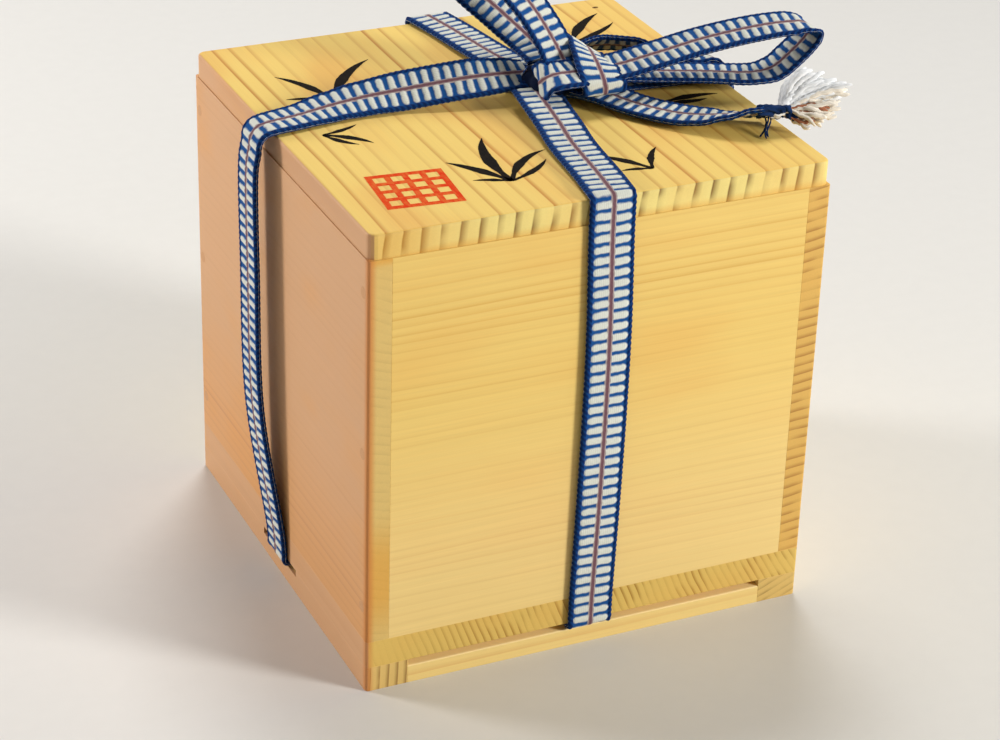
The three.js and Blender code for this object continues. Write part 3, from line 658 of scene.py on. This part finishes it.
REAR_TAIL_ROUTE = [
    [15.5, 10.4, 1.9, 0, 0.2, 0.98], [21.0, 13.4, 3.4, 0, 0.55, 0.8],
    [27.0, 13.4, 3.8, 0, 0.6, 0.78], [33.0, 10.6, 3.6, 0.05, 0.6, 0.78],
    [38.6, 7.2, 2.8, 0.1, 0.35, 0.9], [43.0, 4.8, 2.0, 0.2, 0, 1],
    [46.8, 3.6, 1.3, 1, 0, 0.6], [48.6, 3.2, -1.6, 1, 0, 0.1],
    [48.9, 3.2, -7, 1, 0, 0], [48.7, 3.6, -17, 1, 0, 0],
]

# The tails' hidden beginnings inside the knot
RIGHT_TAIL_ROOT = [
    [7.6, 2.8, 3.5, 0, 0, -1], [5.4, 4.3, 3.4, 0, 0, -1],
    [4.6, 4.8, 2.8, -0.8, 0.6, 0], [5.4, 4.3, 2.2, 0, 0, 1],
    [8.8, 2.0, 2.1, 0, 0, 1], [12.4, -0.4, 2.1, 0, 0, 1],
]
REAR_TAIL_ROOT = [
    [6.0, 3.0, 2.0, 0, 0, 1], [10.6, 6.0, 1.7, 0, 0, 1],
]

# The tape's way round the box: stand-off from the wall and place along it, at shares of the run's height
RUN_RISE_SHARES = [0, 0.04, 0.36, 0.7, 0.96, 1]
FRONT_RUN = [[0, 0], [0, 0], [0.2, 0.6], [0.2, 0.9], [0, 0.5], [0, 0.5]]
LEFT_RUN = [[0, -0.6], [0.2, -0.5], [2.9, 3.2], [3.1, 4.2], [2.9, 4.6], [2.3, 4.6]]
REAR_RUN = [[0, 0.5], [0, 0.5], [0.2, 1.0], [0.2, 3.0], [0, 4.0], [0, 4.0]]
RIGHT_RUN = [[0, 0], [0, 0], [0.2, 0], [0.2, 0], [0, 0], [0, 0]]
TAPE_OFF = 0.7
RUN_LOW = 1.2
RUN_HIGH = 2.9
CROSS_DROP = 1.4
CROSS_REACH = 9
TURN_STEPS = 3
Side = namedtuple("Side", "out along half run top")
SIDES = {
    "front": Side((0, -1), (1, 0), HALF_Y, FRONT_RUN, FRONT_TOP_ROUTE),
    "rear": Side((0, 1), (1, 0), HALF_Y, REAR_RUN, REAR_TOP_ROUTE),
    "left": Side((-1, 0), (0, 1), HALF_X, LEFT_RUN, LEFT_TOP_ROUTE),
    "right": Side((1, 0), (0, 1), HALF_X, RIGHT_RUN, RIGHT_TOP_ROUTE),
}


def over_lid(rows):
    """Rows whose heights are counted from the ground instead of the lid's top."""
    return [[x, y, LID_TOP + z, *face] for x, y, z, *face in rows]


def wall_row(side, outward, along, z, face_out, face_up):
    (ox, oy), (ax, ay) = side.out, side.along
    return [ox * outward + ax * along, oy * outward + ay * along, z, ox * face_out, oy * face_out, face_up]


def edge_turn(side, along, level, vertical, off=0):
    """A quarter turn round an edge, from facing down or up to facing out, looser by the run's stand-off."""
    rows = []
    radius = TAPE_OFF + off
    for i in range(TURN_STEPS + 1):
        angle = math.pi / 2 * i / TURN_STEPS
        outward = side.half + radius * math.sin(angle)
        z = level + vertical * (radius * math.cos(angle) - off)
        rows.append(wall_row(side, outward, along, z, math.sin(angle), vertical * math.cos(angle)))
    return rows


def side_rows(side, drop):
    """From under the base out to the wall, up it and over the lid to the knot."""
    low, high = BASE_LOW + RUN_LOW, LID_TOP - RUN_HIGH
    first, last = side.run[0][1], side.run[-1][1]
    level = BASE_LOW - TAPE_OFF
    rows = [wall_row(side, CROSS_REACH, first, level - drop, 0, -1)]
    rows.append(wall_row(side, side.half - FOOT_WIDE - 1, first, level, 0, -1))
    rows += edge_turn(side, first, BASE_LOW, -1)
    for (off, along), share in zip(side.run, RUN_RISE_SHARES, strict=True):
        rows.append(wall_row(side, side.half + TAPE_OFF + off, along, low + share * (high - low), 1, 0))
    rows += edge_turn(side, last, LID_TOP, 1, side.run[-1][0])[::-1]
    return rows + over_lid(side.top)


def strap(name, near, far, drop, cloth, half=RUNG_HALF):
    """The tape from the knot round the box and back."""
    rows = side_rows(SIDES[near], drop)[::-1] + side_rows(SIDES[far], drop)
    piece, _ = ribbon(name, rows, cloth, half)
    stretches = [f"tape_{side}_{part}" for side in (near, far) for part in ("run", "top")]
    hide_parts(f"tape_under_{near}_to_{far}", *stretches)
    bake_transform(piece)


def free_tape(node, rows, cloth):
    piece, line = ribbon(f"{node}_tape", rows, cloth)
    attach(piece, "lid")
    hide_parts(node)


# Frayed ends

YARN_SIDES = 8
YARN_STEPS = 34
BEND_STEPS = 12
PLY = 0.2
PLY_LONG = 2.4
PLY_SIDE = [0.3, 0.2, 0.93]
WAVE_LONG = (2.4, 4.2)
# Where the yarns start at the tape's end, and how they gather at the neck
ROOT_HALF = 3.4
ROOT_DEEP = 1.2
ROOT_THICK = 0.3
ROOT_BULGE = 0.5
CORE_ROOT_SHARE = 0.35
CORE_NECK_SHARE = 0.24
CORE_NECK_THICK = 0.6
NECK_WIDE = 1.5
NECK_THICK = 1.25
NECK_STRAY = 0.2

# A kind of yarn: its count, its stretch of the fan, its spread through it and shift to its front, its least
# and most share of the full length, how much it curls and kinks, how far it keeps to the outside of the
# neck, and its radius
Yarn = namedtuple("Yarn", "count fan depth front long curl kink shell radius")


def yarn_cotton(name, tone, shade):
    made = Finish(name, 0.95, specular=0.05, sheen=0.05)
    place = made.place()
    patch = made.noise(place, size=1.2)
    fuzz = made.noise(place, size=0.12)
    return made.finish(made.mix(patch * 0.6 + fuzz * 0.4, tone, shade), fuzz, depth=0.05)


def bezier(points, count):
    p0, p1, p2, p3 = (np.array(p, float) for p in points)
    t = np.linspace(0, 1, count)[:, None]
    return (1 - t) ** 3 * p0 + 3 * (1 - t) ** 2 * t * p1 + 3 * (1 - t) * t * t * p2 + t**3 * p3


def yarn_tube(line, radius):
    """Points of a thin two-ply yarn along a line, loose at its far end."""
    tangent = unit(np.gradient(line, axis=0))
    side = unit(np.cross(tangent, PLY_SIDE))
    other = np.cross(tangent, side)
    angle = np.arange(YARN_SIDES) * 2 * np.pi / YARN_SIDES
    twist = 2 * np.pi * run_lengths(line) / PLY_LONG
    taper = radius * np.interp(np.linspace(0, 1, len(line)), [0, 0.8, 0.93, 1], [0.8, 1, 1.15, 0.5])
    wide = taper[:, None] * (1 + PLY * np.cos(2 * (angle[None] - twist[:, None])))
    ring = side[:, None] * np.cos(angle)[None, :, None] + other[:, None] * np.sin(angle)[None, :, None]
    return np.vstack([(line[:, None] + wide[:, :, None] * ring).reshape(-1, 3), line[0], line[-1]])


def yarns(name, lines, radii, material):
    tubes = [yarn_tube(line, radius) for line, radius in zip(lines, radii, strict=True)]
    piece = new_object(name, *stacked(tubes, ring_faces(YARN_STEPS, YARN_SIDES)), material)
    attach(piece, "lid")
    return piece


def kinked(line, rng, height, long):
    """The line with the waves that the weave has left in a yarn, growing toward its tip."""
    side = unit(np.cross(unit(np.gradient(line, axis=0)), rng.normal(size=3)))
    gone = run_lengths(line)
    wave = np.sin(2 * np.pi * gone / long + rng.uniform(0, 2 * np.pi)) * height
    grown = np.interp(gone / gone[-1], [0, 0.35, 0.7, 1], [0, 0.1, 1, 1.3])
    return line + side * (wave * grown)[:, None]


def tassel_line(rng, tape_end, shape, kind):
    """A yarn's line from the tape's end, in through the neck and out to its place in the fan.

    shape has the neck, the fan's three tips, the direction of its thickness and how far it bulges. A yarn
    of the shell runs on the outside of the neck, and one of the core through it.
    """
    place, across, through, tangent = tape_end
    neck, tip_0, tip_1, tip_2 = (np.array(p) + [0, 0, LID_TOP] for p in (shape["neck"], *shape["tips"]))
    thick, bulge = np.array(shape["thick"]), np.array(shape["bulge"])
    shell, core = kind.shell, 1 - kind.shell
    s = rng.uniform(*kind.fan)
    depth = rng.normal() * kind.depth + kind.front
    share = rng.uniform(*kind.long)
    tip = (1 - s) ** 2 * tip_0 + 2 * s * (1 - s) * tip_1 + s * s * tip_2 + thick * depth
    reach = neck + (tip - neck) * share
    start = rng.uniform(-ROOT_HALF, ROOT_HALF)
    turn = rng.uniform(0, 2 * np.pi)
    around = across * math.cos(turn) * NECK_WIDE + thick * math.sin(turn) * NECK_THICK
    inside = across * start * CORE_NECK_SHARE + thick * rng.uniform(-CORE_NECK_THICK, CORE_NECK_THICK)
    lift = rng.uniform(-ROOT_THICK, ROOT_THICK) + ROOT_BULGE * shell * math.sin(turn)
    aside = start * (CORE_ROOT_SHARE + (1 - CORE_ROOT_SHARE) * shell)
    root = place + across * aside + through * lift - tangent * ROOT_DEEP
    tie = neck + around * shell + inside * core + rng.normal(size=3) * NECK_STRAY
    first = bezier([root, root + tangent * 2.2, tie - (reach - root) * 0.12, tie], BEND_STEPS)
    swell = reach - (tip - neck) * 0.35 + bulge * (1 - s) + rng.normal(size=3) * kind.curl
    second = bezier([tie, tie + (tie - root) * 0.25, swell, reach], YARN_STEPS - BEND_STEPS + 1)
    return kinked(np.vstack([first, second[1:]]), rng, kind.kink, rng.uniform(*WAVE_LONG))


# Brushed ink

INK_HIGH = 0.05
INK_LOW = -0.02
INK_WOBBLE = 0.03
BLADE_STEPS = 40
SPRIG_SEED = 7
# Each sprig's root, and the heading, length, bend and width of its blades
SPRIGS = [
    ((-13, -33), [(96, 20, -34, 2.5), (62, 16, -46, 1.9), (118, 14, 16, 2.1), (22, 12, 30, 1.4),
                  (150, 7, 20, 1.2)]),
    ((-29, 13), [(64, 22, -32, 2.4), (28, 16, -24, 1.8), (102, 16, 30, 2.0), (150, 9, 24, 1.4)]),
    ((26, 24), [(58, 18, -26, 2.3), (100, 15, 28, 1.9), (20, 15, 24, 1.6), (150, 9, -20, 1.4)]),
    ((29, -10), [(-20, 9, 32, 1.8), (14, 12, -30, 2.1), (-62, 6, 26, 1.4)]),
    ((13, -37), [(120, 12, 26, 1.8), (72, 10, -30, 1.4), (160, 6, 24, 1.1)]),
    ((-37, -2), [(-30, 10, -28, 1.7), (-66, 8, 30, 1.4), (8, 8, 24, 1.2)]),
]
LATTICE_MIDDLE = (-30.5, -30)
LATTICE_HALF = 7.2
LATTICE_BAR = 1.15
LATTICE_WINDOWS = 4
LATTICE_TURN = -5
SPECK_PLACE = (39.3, 40.4)
SPECK_SIZE = 0.7


def ink_finish(name, tone, thin, cover):
    """Ink on wood: solid where cover is 1, thinner in patches below that."""
    made = Finish(name, 0.85, specular=0.06)
    patch = made.noise(made.place(), size=1.1, detail=3).step(0.3, 0.62)
    fibre = made.noise(made.place((1 / 0.5, 1 / 12, 1))).step(0.25, 0.6)
    return made.finish(made.mix(patch * fibre * (cover - 1) + 1.0, thin, tone), fibre, depth=0.02)


def brush_line(root, heading, long, bend):
    """A curved line over the lid and its direction in plan, bending more and more toward its tip."""
    share = np.linspace(0, 1, BLADE_STEPS)
    angle = np.radians(heading + bend * share**1.5)
    way = np.stack([np.cos(angle), np.sin(angle)], 1)
    line = np.array(root) + np.vstack([[0, 0], np.cumsum(way[1:] * long / (BLADE_STEPS - 1), axis=0)])
    return share, line, way


def blade_body(rng, root, heading, long, bend, wide):
    """Points of a thin blade of ink over the lid."""
    share, line, way = brush_line(root, heading, long, bend)
    side = np.stack([-way[:, 1], way[:, 0]], 1)
    swell = np.interp(share, [0, 0.06, 0.2, 0.45, 0.8, 1], [0.25, 0.5, 0.45, 1, 0.55, 0.02])
    half = wide / 2 * swell[:, None]
    wobble = rng.normal(size=(BLADE_STEPS, 2, 1)) * INK_WOBBLE * swell[:, None, None]
    left, right = line + side * (half + wobble[:, 0]), line - side * (half + wobble[:, 1])
    corners = [(left, INK_HIGH), (right, INK_HIGH), (right, INK_LOW), (left, INK_LOW)]
    rings = np.stack([np.column_stack([p, np.full(len(p), LID_TOP + z)]) for p, z in corners], 1)
    middle = LID_TOP + (INK_HIGH + INK_LOW) / 2
    caps = [[*line[0], middle], [*line[-1], middle]]
    return np.vstack([rings.reshape(-1, 3), caps])


def make_sprigs():
    rng = np.random.default_rng(SPRIG_SEED)
    black = ink_finish("ink_black", (16, 14, 13), (58, 44, 30), 0.8)
    faces = [face[::-1] for face in ring_faces(BLADE_STEPS, 4)]
    for number, (root, blades) in enumerate(SPRIGS, 1):
        bodies = [blade_body(rng, root, *blade) for blade in blades]
        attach(new_object(f"ink_sprig_{number}", *stacked(bodies, faces), black, smooth=False), "lid")


def make_lattice():
    """A plain square lattice printed in red."""
    bars = LATTICE_WINDOWS + 1
    step = (2 * LATTICE_HALF - LATTICE_BAR) / LATTICE_WINDOWS
    edges = [i * step - LATTICE_HALF + wide for i in range(bars) for wide in (0, LATTICE_BAR)]
    bm = bmesh.new()
    turn = Matrix.Rotation(math.radians(LATTICE_TURN), 3, "Z")
    middle = Vector((*LATTICE_MIDDLE, LID_TOP + INK_LOW))
    grid = [[bm.verts.new(middle + turn @ Vector((x, y, 0))) for x in edges] for y in edges]
    last = len(edges) - 1
    for j in range(last):
        for i in range(last):
            if i % 2 == 0 or j % 2 == 0:
                bm.faces.new([grid[j][i], grid[j][i + 1], grid[j + 1][i + 1], grid[j + 1][i]])
    made = bmesh.ops.extrude_face_region(bm, geom=list(bm.faces))
    for item in made["geom"]:
        if isinstance(item, bmesh.types.BMVert):
            item.co.z += INK_HIGH - INK_LOW
    red = ink_finish("ink_red", (224, 60, 26), (232, 138, 66), 0.5)
    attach(from_bmesh("printed_lattice", bm, red), "lid")


def make_speck():
    bm = bmesh.new()
    shift = Matrix.Translation((*SPECK_PLACE, LID_TOP + (INK_HIGH + INK_LOW) / 2))
    bmesh.ops.create_cone(bm, cap_ends=True, segments=24, radius1=SPECK_SIZE, radius2=SPECK_SIZE * 0.8,
                          depth=INK_HIGH - INK_LOW, matrix=shift @ Matrix.Diagonal((1, 0.6, 1, 1)))
    brown = ink_finish("speck_brown", (92, 62, 34), (120, 84, 46), 0.6)
    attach(from_bmesh("wood_speck", bm, brown), "lid")


# Boards

BOARD_EASE = 0.06
RAIL_EASE = 0.36
CORNER_EASE = 0.6
LID_CORNER = 1.6
LID_EDGE = 0.5
LID_UNDER_EDGE = 0.05
LID_SEAT = 0.29
SHARP_ANGLE = 50
PEG_RADIUS = 1.12
PEG_SLACK = 0.02
PEG_PROUD = 0.02
PEG_SIDES = 32
PEG_EASE = 0.03
NOTCH_HALF = 9
NOTCH_DEEP = 1.4
# How far a cutter starts outside the board, and how much longer than its peg the cutter of a hole is
CUT_PAST = 1
HOLE_MORE = 1.1
# The lid is inset by less than this
LID_INSET_LIMIT = 0.3

ENDS = ("front", "rear")
FLANKS = ("left", "right")
PEGS = [f"{end}_{side}_wall_peg_{i}" for end in ENDS for side in FLANKS for i in (1, 2, 3)]
PEGS += [f"{side}_foot_peg_{i}" for side in FLANKS for i in (1, 2)]
PEGS += [f"batten_peg_{side}_{i}" for side in SIDES for i in (1, 2)]
# Each board's node, wood and slot, and the words in the names of its pegs
BOARDS = []
for side in FLANKS:
    BOARDS.append((f"{side}_wall", side, "wood_side_wall", (f"{side}_wall",)))
    BOARDS.append((f"{side}_foot", f"foot_{side}", "wood_base", (f"{side}_foot",)))
for end in ENDS:
    BOARDS.append((f"{end}_wall", end, "wood_front_wall", (end, "wall")))
    BOARDS.append((f"{end}_foot_rail", "rail", "wood_base", ("rail",)))
BOARDS.append(("base_board", "base", "wood_base", ("foot",)))
BOARDS.append(("lid_board", "lid", "wood_lid", ("batten",)))
BOARDS += [(f"lid_batten_{side}", "batten", "wood_lid", ("batten", side)) for side in SIDES]


def bevel(bm, edges, size, segments):
    bmesh.ops.bevel(bm, geom=edges, offset=size, offset_type="OFFSET", segments=segments, profile=0.5,
                    affect="EDGES", clamp_overlap=True)


def box_mesh(bm, low, high):
    made = bmesh.ops.create_cube(bm, size=1)
    middle, size = (low + high) / 2, high - low
    for vertex in made["verts"]:
        vertex.co = Vector(middle + np.array(vertex.co) * size)


def at_corner(edge):
    """True for an upright edge at one of the box's or the lid's corners."""
    a, b = (v.co for v in edge.verts)
    past_x = abs(a.x) > HALF_X - LID_INSET_LIMIT
    past_y = abs(a.y) > HALF_Y - LID_INSET_LIMIT
    return (a.xy - b.xy).length < 1e-6 and past_x and past_y


def sharp_edges(bm):
    edges = [e for e in bm.edges if len(e.link_faces) == 2]
    return [e for e in edges if math.degrees(e.calc_face_angle()) > SHARP_ANGLE]


def cut_out(piece, cutter):
    """Cuts the cutter's closed mesh out of the piece, and removes the cutter."""
    modifier = piece.modifiers.new("cut", "BOOLEAN")
    modifier.operation = "DIFFERENCE"
    modifier.solver = "EXACT"
    modifier.object = cutter
    bpy.context.view_layer.update()
    cut = bpy.data.meshes.new_from_object(piece.evaluated_get(bpy.context.evaluated_depsgraph_get()))
    piece.modifiers.clear()
    piece.data = cut
    bpy.data.objects.remove(cutter)


def rod(bm, start, direction, long, radius):
    """A round rod from a point along a direction."""
    turn = Vector((0, 0, 1)).rotation_difference(Vector(direction)).to_matrix().to_4x4()
    shift = Matrix.Translation(Vector(start) + Vector(direction) * long / 2)
    bmesh.ops.create_cone(bm, cap_ends=True, segments=PEG_SIDES, radius1=radius, radius2=radius, depth=long,
                          matrix=shift @ turn)


def from_bmesh(name, bm, material, smooth=False):
    """An object from a bmesh in millimetres."""
    bmesh.ops.recalc_face_normals(bm, faces=bm.faces)
    mesh = bpy.data.meshes.new(name)
    bm.to_mesh(mesh)
    bm.free()
    mesh.transform(Matrix.Scale(MM, 4))
    return linked(name, mesh, material, smooth)


def peg_line(node):
    """A peg node's start, direction and length. A wall's peg starts outside, an upright one at its foot."""
    low, high = node_box(node)
    size = high - low
    axis = int(np.argmax(size))
    start = (low + high) / 2
    outward = 1 if start[axis] > 0 and axis < 2 else -1
    start[axis] = high[axis] if outward > 0 else low[axis]
    direction = np.zeros(3)
    direction[axis] = -outward
    return start, direction, size[axis]


def make_peg(node, material):
    start, direction, long = peg_line(node)
    proud = 0 if "foot" in node else PEG_PROUD
    bm = bmesh.new()
    rod(bm, start - direction * proud, direction, long + proud, PEG_RADIUS - PEG_SLACK)
    bevel(bm, sharp_edges(bm), PEG_EASE, 2)
    piece = from_bmesh(f"{node}_dowel", bm, material)
    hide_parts(node)
    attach(piece, "lid" if node.startswith("batten") else "box")


def ease_edges(bm, node, low, high):
    """Rounds the sharp edges, the lid's upper ones and a rail's outer one the most."""
    if node == "lid_board":
        upper = [e for e in sharp_edges(bm) if min(v.co.z for v in e.verts) > (low[2] + high[2]) / 2]
        bevel(bm, upper, LID_EDGE, 4)
        bevel(bm, sharp_edges(bm), LID_UNDER_EDGE, 2)
        return
    if "rail" in node:
        outer = [e for e in sharp_edges(bm) if all(v.co.z > high[2] - BOARD_EASE for v in e.verts)
                 and all(abs(v.co.y) > HALF_Y - BOARD_EASE for v in e.verts)]
        bevel(bm, outer, RAIL_EASE, 3)
    bevel(bm, sharp_edges(bm), BOARD_EASE, 3)


def board_cutter(low, high, pegs, is_foot, material):
    """What is cut out of a board: its peg holes, and the notch on a foot's top for the tape."""
    bm = bmesh.new()
    for peg in pegs:
        start, direction, long = peg_line(peg)
        rod(bm, start - direction * CUT_PAST, direction, long + HOLE_MORE, PEG_RADIUS)
    if is_foot:
        near = np.array([low[0] - CUT_PAST, -NOTCH_HALF, high[2] - NOTCH_DEEP])
        far = np.array([high[0] + CUT_PAST, NOTCH_HALF, high[2] + CUT_PAST])
        box_mesh(bm, near, far)
    return from_bmesh("cutter", bm, material)


def make_board(node, material, pegs):
    """A board with eased edges and its peg holes, in the place of its CAD node."""
    low, high = node_box(node)
    corner_ease = CORNER_EASE
    if node == "lid_board":
        low = low - [0, 0, LID_SEAT]
        corner_ease = LID_CORNER
    bm = bmesh.new()
    box_mesh(bm, low, high)
    bevel(bm, [e for e in bm.edges if at_corner(e)], corner_ease, 4)
    ease_edges(bm, node, low, high)
    piece = from_bmesh(f"{node}_wood", bm, material)
    if pegs:
        cut_out(piece, board_cutter(low, high, pegs, node.endswith("_foot"), material))
    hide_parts(node)
    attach(piece, "lid" if node.startswith("lid") else "box")


def make_boards():
    woods = {key: Wood(f"wood_{key}", i, own).build() for i, (key, own) in enumerate(WOODS.items(), 1)}
    plain_peg = peg_wood("wood_peg", (222, 180, 108), (202, 156, 88))
    # The left wall's pegs carry the painted pink light of the box's left side.
    left_light_peg = peg_wood("wood_peg_left_light", (210, 160, 114), (196, 144, 98))
    for node, wood, slot, words in BOARDS:
        make_board(node, woods[wood], [peg for peg in PEGS if all(word in peg for word in words)])
    for peg in PEGS:
        make_peg(peg, left_light_peg if "left_wall" in peg else plain_peg)


# Knot

KNOT_CENTRE = [10.4, -0.4, 3.7]
KNOT_RADII = [6.8, 7.4, 3.0]
KNOT_INSET = 0.8
KNOT_FOLDS = 9
FOLD_DEEP = 0.05
FOLD_TWIST = 3


def make_knot(cloth):
    wrap, _ = ribbon("knot_wrap", over_lid(WRAP_ROUTE), cloth)
    lobe, _ = ribbon("knot_lobe", over_lid(LOBE_ROUTE), cloth)
    bm = bmesh.new()
    bmesh.ops.create_uvsphere(bm, u_segments=64, v_segments=32, radius=1)
    middle = Vector(KNOT_CENTRE) + Vector((0, 0, LID_TOP))
    for vertex in bm.verts:
        x, y, z = vertex.co
        fold = 1 + FOLD_DEEP * math.sin(KNOT_FOLDS * math.atan2(y, x) + FOLD_TWIST * z)
        radii = zip(vertex.co, KNOT_RADII, strict=True)
        vertex.co = middle + Vector([c * fold * (r - KNOT_INSET) for c, r in radii])
    # The core's near-black navy is painted shade: a dark body in the hollow between the strands.
    core = from_bmesh("knot_core", bm, yarn_cotton("knot_shade", (7, 16, 38), (12, 30, 64)), smooth=True)
    for piece in (wrap, lobe, core):
        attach(piece, "lid")
    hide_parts("knot")


# Bow and tassels. The order of a tassel's yarns is the order of its random draws

RIGHT_SEED = 4
RIGHT_SHAPE = {
    "neck": (43.4, -29.0, 3.4), "tips": ((50.2, -24.9, 9.5), (63.0, -34.2, 4.4), (46.2, -34.6, 1.3)),
    "thick": (0.28, -0.55, 0.78), "bulge": (-2.6, 1.6, 1.6),
}
RIGHT_YARNS = {
    "white": Yarn(130, (0.0, 0.4), 1.2, 0, (0.78, 1.0), 0.6, 0.1, 0, 0.52),
    "blue": Yarn(100, (0.3, 1.0), 0.8, 1.0, (0.05, 0.5), 0.5, 0.15, 1, 0.42),
    "brown": Yarn(14, (0.6, 0.98), 0.8, 1.3, (0.5, 0.86), 1.2, 0.2, 0.4, 0.32),
    "cream": Yarn(40, (0.4, 1.0), 1.3, 0, (0.6, 1.0), 1.1, 0.16, 0.2, 0.44),
}
STRAY_YARNS = [
    ((40.8, -27.9, 3.0), (41.9, -29.6, 3.0), (38.9, -30.2, 1.0), (38.6, -32.9, 0.35)),
    ((41.2, -28.1, 2.9), (42.4, -29.9, 2.2), (38.8, -30.8, 1.3), (39.3, -32.4, 0.3)),
    ((40.4, -27.6, 2.9), (41.2, -29.0, 2.0), (39.8, -30.4, 0.8), (37.9, -31.6, 0.3)),
]
STRAY_RADIUS = 0.17
REAR_SEED = 5
REAR_SHAPE = {
    "neck": (48.7, 3.7, -19.5), "tips": ((49.2, -2.4, -29.0), (49.4, 4.0, -35.6), (49.0, 10.0, -28.6)),
    "thick": (1, 0, 0), "bulge": (0.2, -0.4, -0.6),
}
REAR_YARNS = {
    "white": Yarn(58, (0.0, 1.0), 0.4, 0, (0.7, 1.0), 0.3, 0.1, 0, 0.38),
    "blue": Yarn(30, (0.0, 1.0), 0.4, 0, (0.06, 0.4), 0.2, 0.1, 0.7, 0.3),
    "brown": Yarn(10, (0.2, 0.8), 0.4, 0, (0.7, 1.0), 0.3, 0.2, 0.3, 0.3),
    "cream": Yarn(12, (0.1, 0.9), 0.4, 0, (0.7, 1.0), 0.3, 0.2, 0.2, 0.32),
}
# Each tone of cotton with its shade
COTTONS = {
    "white": ((250, 250, 248), (226, 230, 236)),
    "blue": ((10, 26, 62), (30, 60, 108)),
    "brown": ((190, 128, 96), (150, 94, 70)),
    "cream": ((248, 243, 232), (230, 218, 200)),
}


def make_tassel(name, rows, shape, kinds, cottons, seed):
    rng = np.random.default_rng(seed)
    _, place, across, through, tangent = even_frames(rows)
    tape_end = place[-1], across[-1], through[-1], tangent[-1]
    pieces = []
    for tone, kind in kinds.items():
        lines = [tassel_line(rng, tape_end, shape, kind) for _ in range(kind.count)]
        radii = kind.radius * rng.uniform(0.8, 1.15, kind.count)
        pieces.append(yarns(f"{name}_{tone}", lines, radii, cottons[tone]))
    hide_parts(name)
    return pieces


def make_bow(cloth):
    cottons = {tone: yarn_cotton(f"yarn_{tone}", *pair) for tone, pair in COTTONS.items()}
    right_rows = over_lid(RIGHT_TAIL_ROOT + RIGHT_TAIL_ROUTE)
    rear_rows = over_lid(REAR_TAIL_ROOT + REAR_TAIL_ROUTE)
    right_tassel = make_tassel("right_tassel", right_rows, RIGHT_SHAPE, RIGHT_YARNS, cottons, RIGHT_SEED)
    strays = [bezier(points, YARN_STEPS) + [0, 0, LID_TOP] for points in STRAY_YARNS]
    right_tassel.append(yarns("right_tassel_stray", strays, [STRAY_RADIUS] * len(strays), cottons["blue"]))
    rear_tassel = make_tassel("rear_tassel", rear_rows, REAR_SHAPE, REAR_YARNS, cottons, REAR_SEED)
    free_tape("right_loop", over_lid(RIGHT_LOOP_ROUTE), cloth)
    free_tape("back_loop", over_lid(BACK_LOOP_ROUTE), cloth)
    free_tape("right_tail", right_rows, cloth)
    free_tape("rear_tail", rear_rows, cloth)


# Stage

FLOOR_SIZE = 6.0
FLOOR_TONE = (226, 225, 222)
FLOOR_SHADE = (214, 213, 210)


def make_stage():
    bm = bmesh.new()
    bmesh.ops.create_grid(bm, x_segments=2, y_segments=2, size=FLOOR_SIZE / 2 / MM)
    made = Finish("floor", 0.9, specular=0.1)
    grain = made.noise(made.place(), size=4, detail=3)
    material = made.finish(made.mix(grain * 0.3, FLOOR_TONE, FLOOR_SHADE), grain, depth=0.02)
    from_bmesh("floor", bm, material)


def area_light(name, place, size, power, tone):
    data = bpy.data.lights.new(name, "AREA")
    data.shape = "DISK"
    data.size = size
    data.energy = power
    data.color = tone
    light = bpy.data.objects.new(name, data)
    light.location = place
    light.rotation_euler = (Vector(LIGHTS_TARGET) - Vector(place)).to_track_quat("-Z", "Y").to_euler()
    bpy.context.scene.collection.objects.link(light)


# Each lamp's place, size, power and tone
LAMPS = {
    "key": ((0.6, -0.64, 0.36), 0.22, 7.2, (1, 0.985, 0.95)),
    "top": ((0.16, 0.4, 0.86), 0.3, 4.3, (1, 0.985, 0.96)),
    "window": ((-0.58, 0.46, 0.24), 0.2, 3.9, (1, 0.97, 0.95)),
}
SKY_LIGHT = 0.16
SKY_SEEN = 0.9
SKY_TONE = (1, 0.97, 0.93, 1)
LIGHTS_TARGET = (0, 0, 0.05)


def make_lights():
    for name, lamp in LAMPS.items():
        area_light(name, *lamp)
    world = bpy.data.worlds.new("world")
    bpy.context.scene.world = world
    world.use_nodes = True
    tree = world.node_tree
    back = tree.nodes["Background"]
    path = tree.nodes.new("ShaderNodeLightPath")
    seen = Value(tree, path.outputs["Is Camera Ray"])
    for ray in ("Is Glossy Ray", "Is Transmission Ray"):
        seen = seen.math("MAXIMUM", Value(tree, path.outputs[ray]))
    strength = seen * (SKY_SEEN - SKY_LIGHT) + SKY_LIGHT
    tree.links.new(strength.socket, back.inputs["Strength"])
    back.inputs["Color"].default_value = SKY_TONE


make_camera()
tape = tape_cloth()
strap("strap_front_to_rear", "front", "rear", 0, tape, TIGHT_RUNG)
strap("strap_left_to_right", "left", "right", CROSS_DROP, tape)
make_knot(tape)
make_bow(tape)
make_boards()
make_sprigs()
make_lattice()
make_speck()
make_stage()
make_lights()

scene = bpy.context.scene
scene.view_settings.view_transform = "Standard"
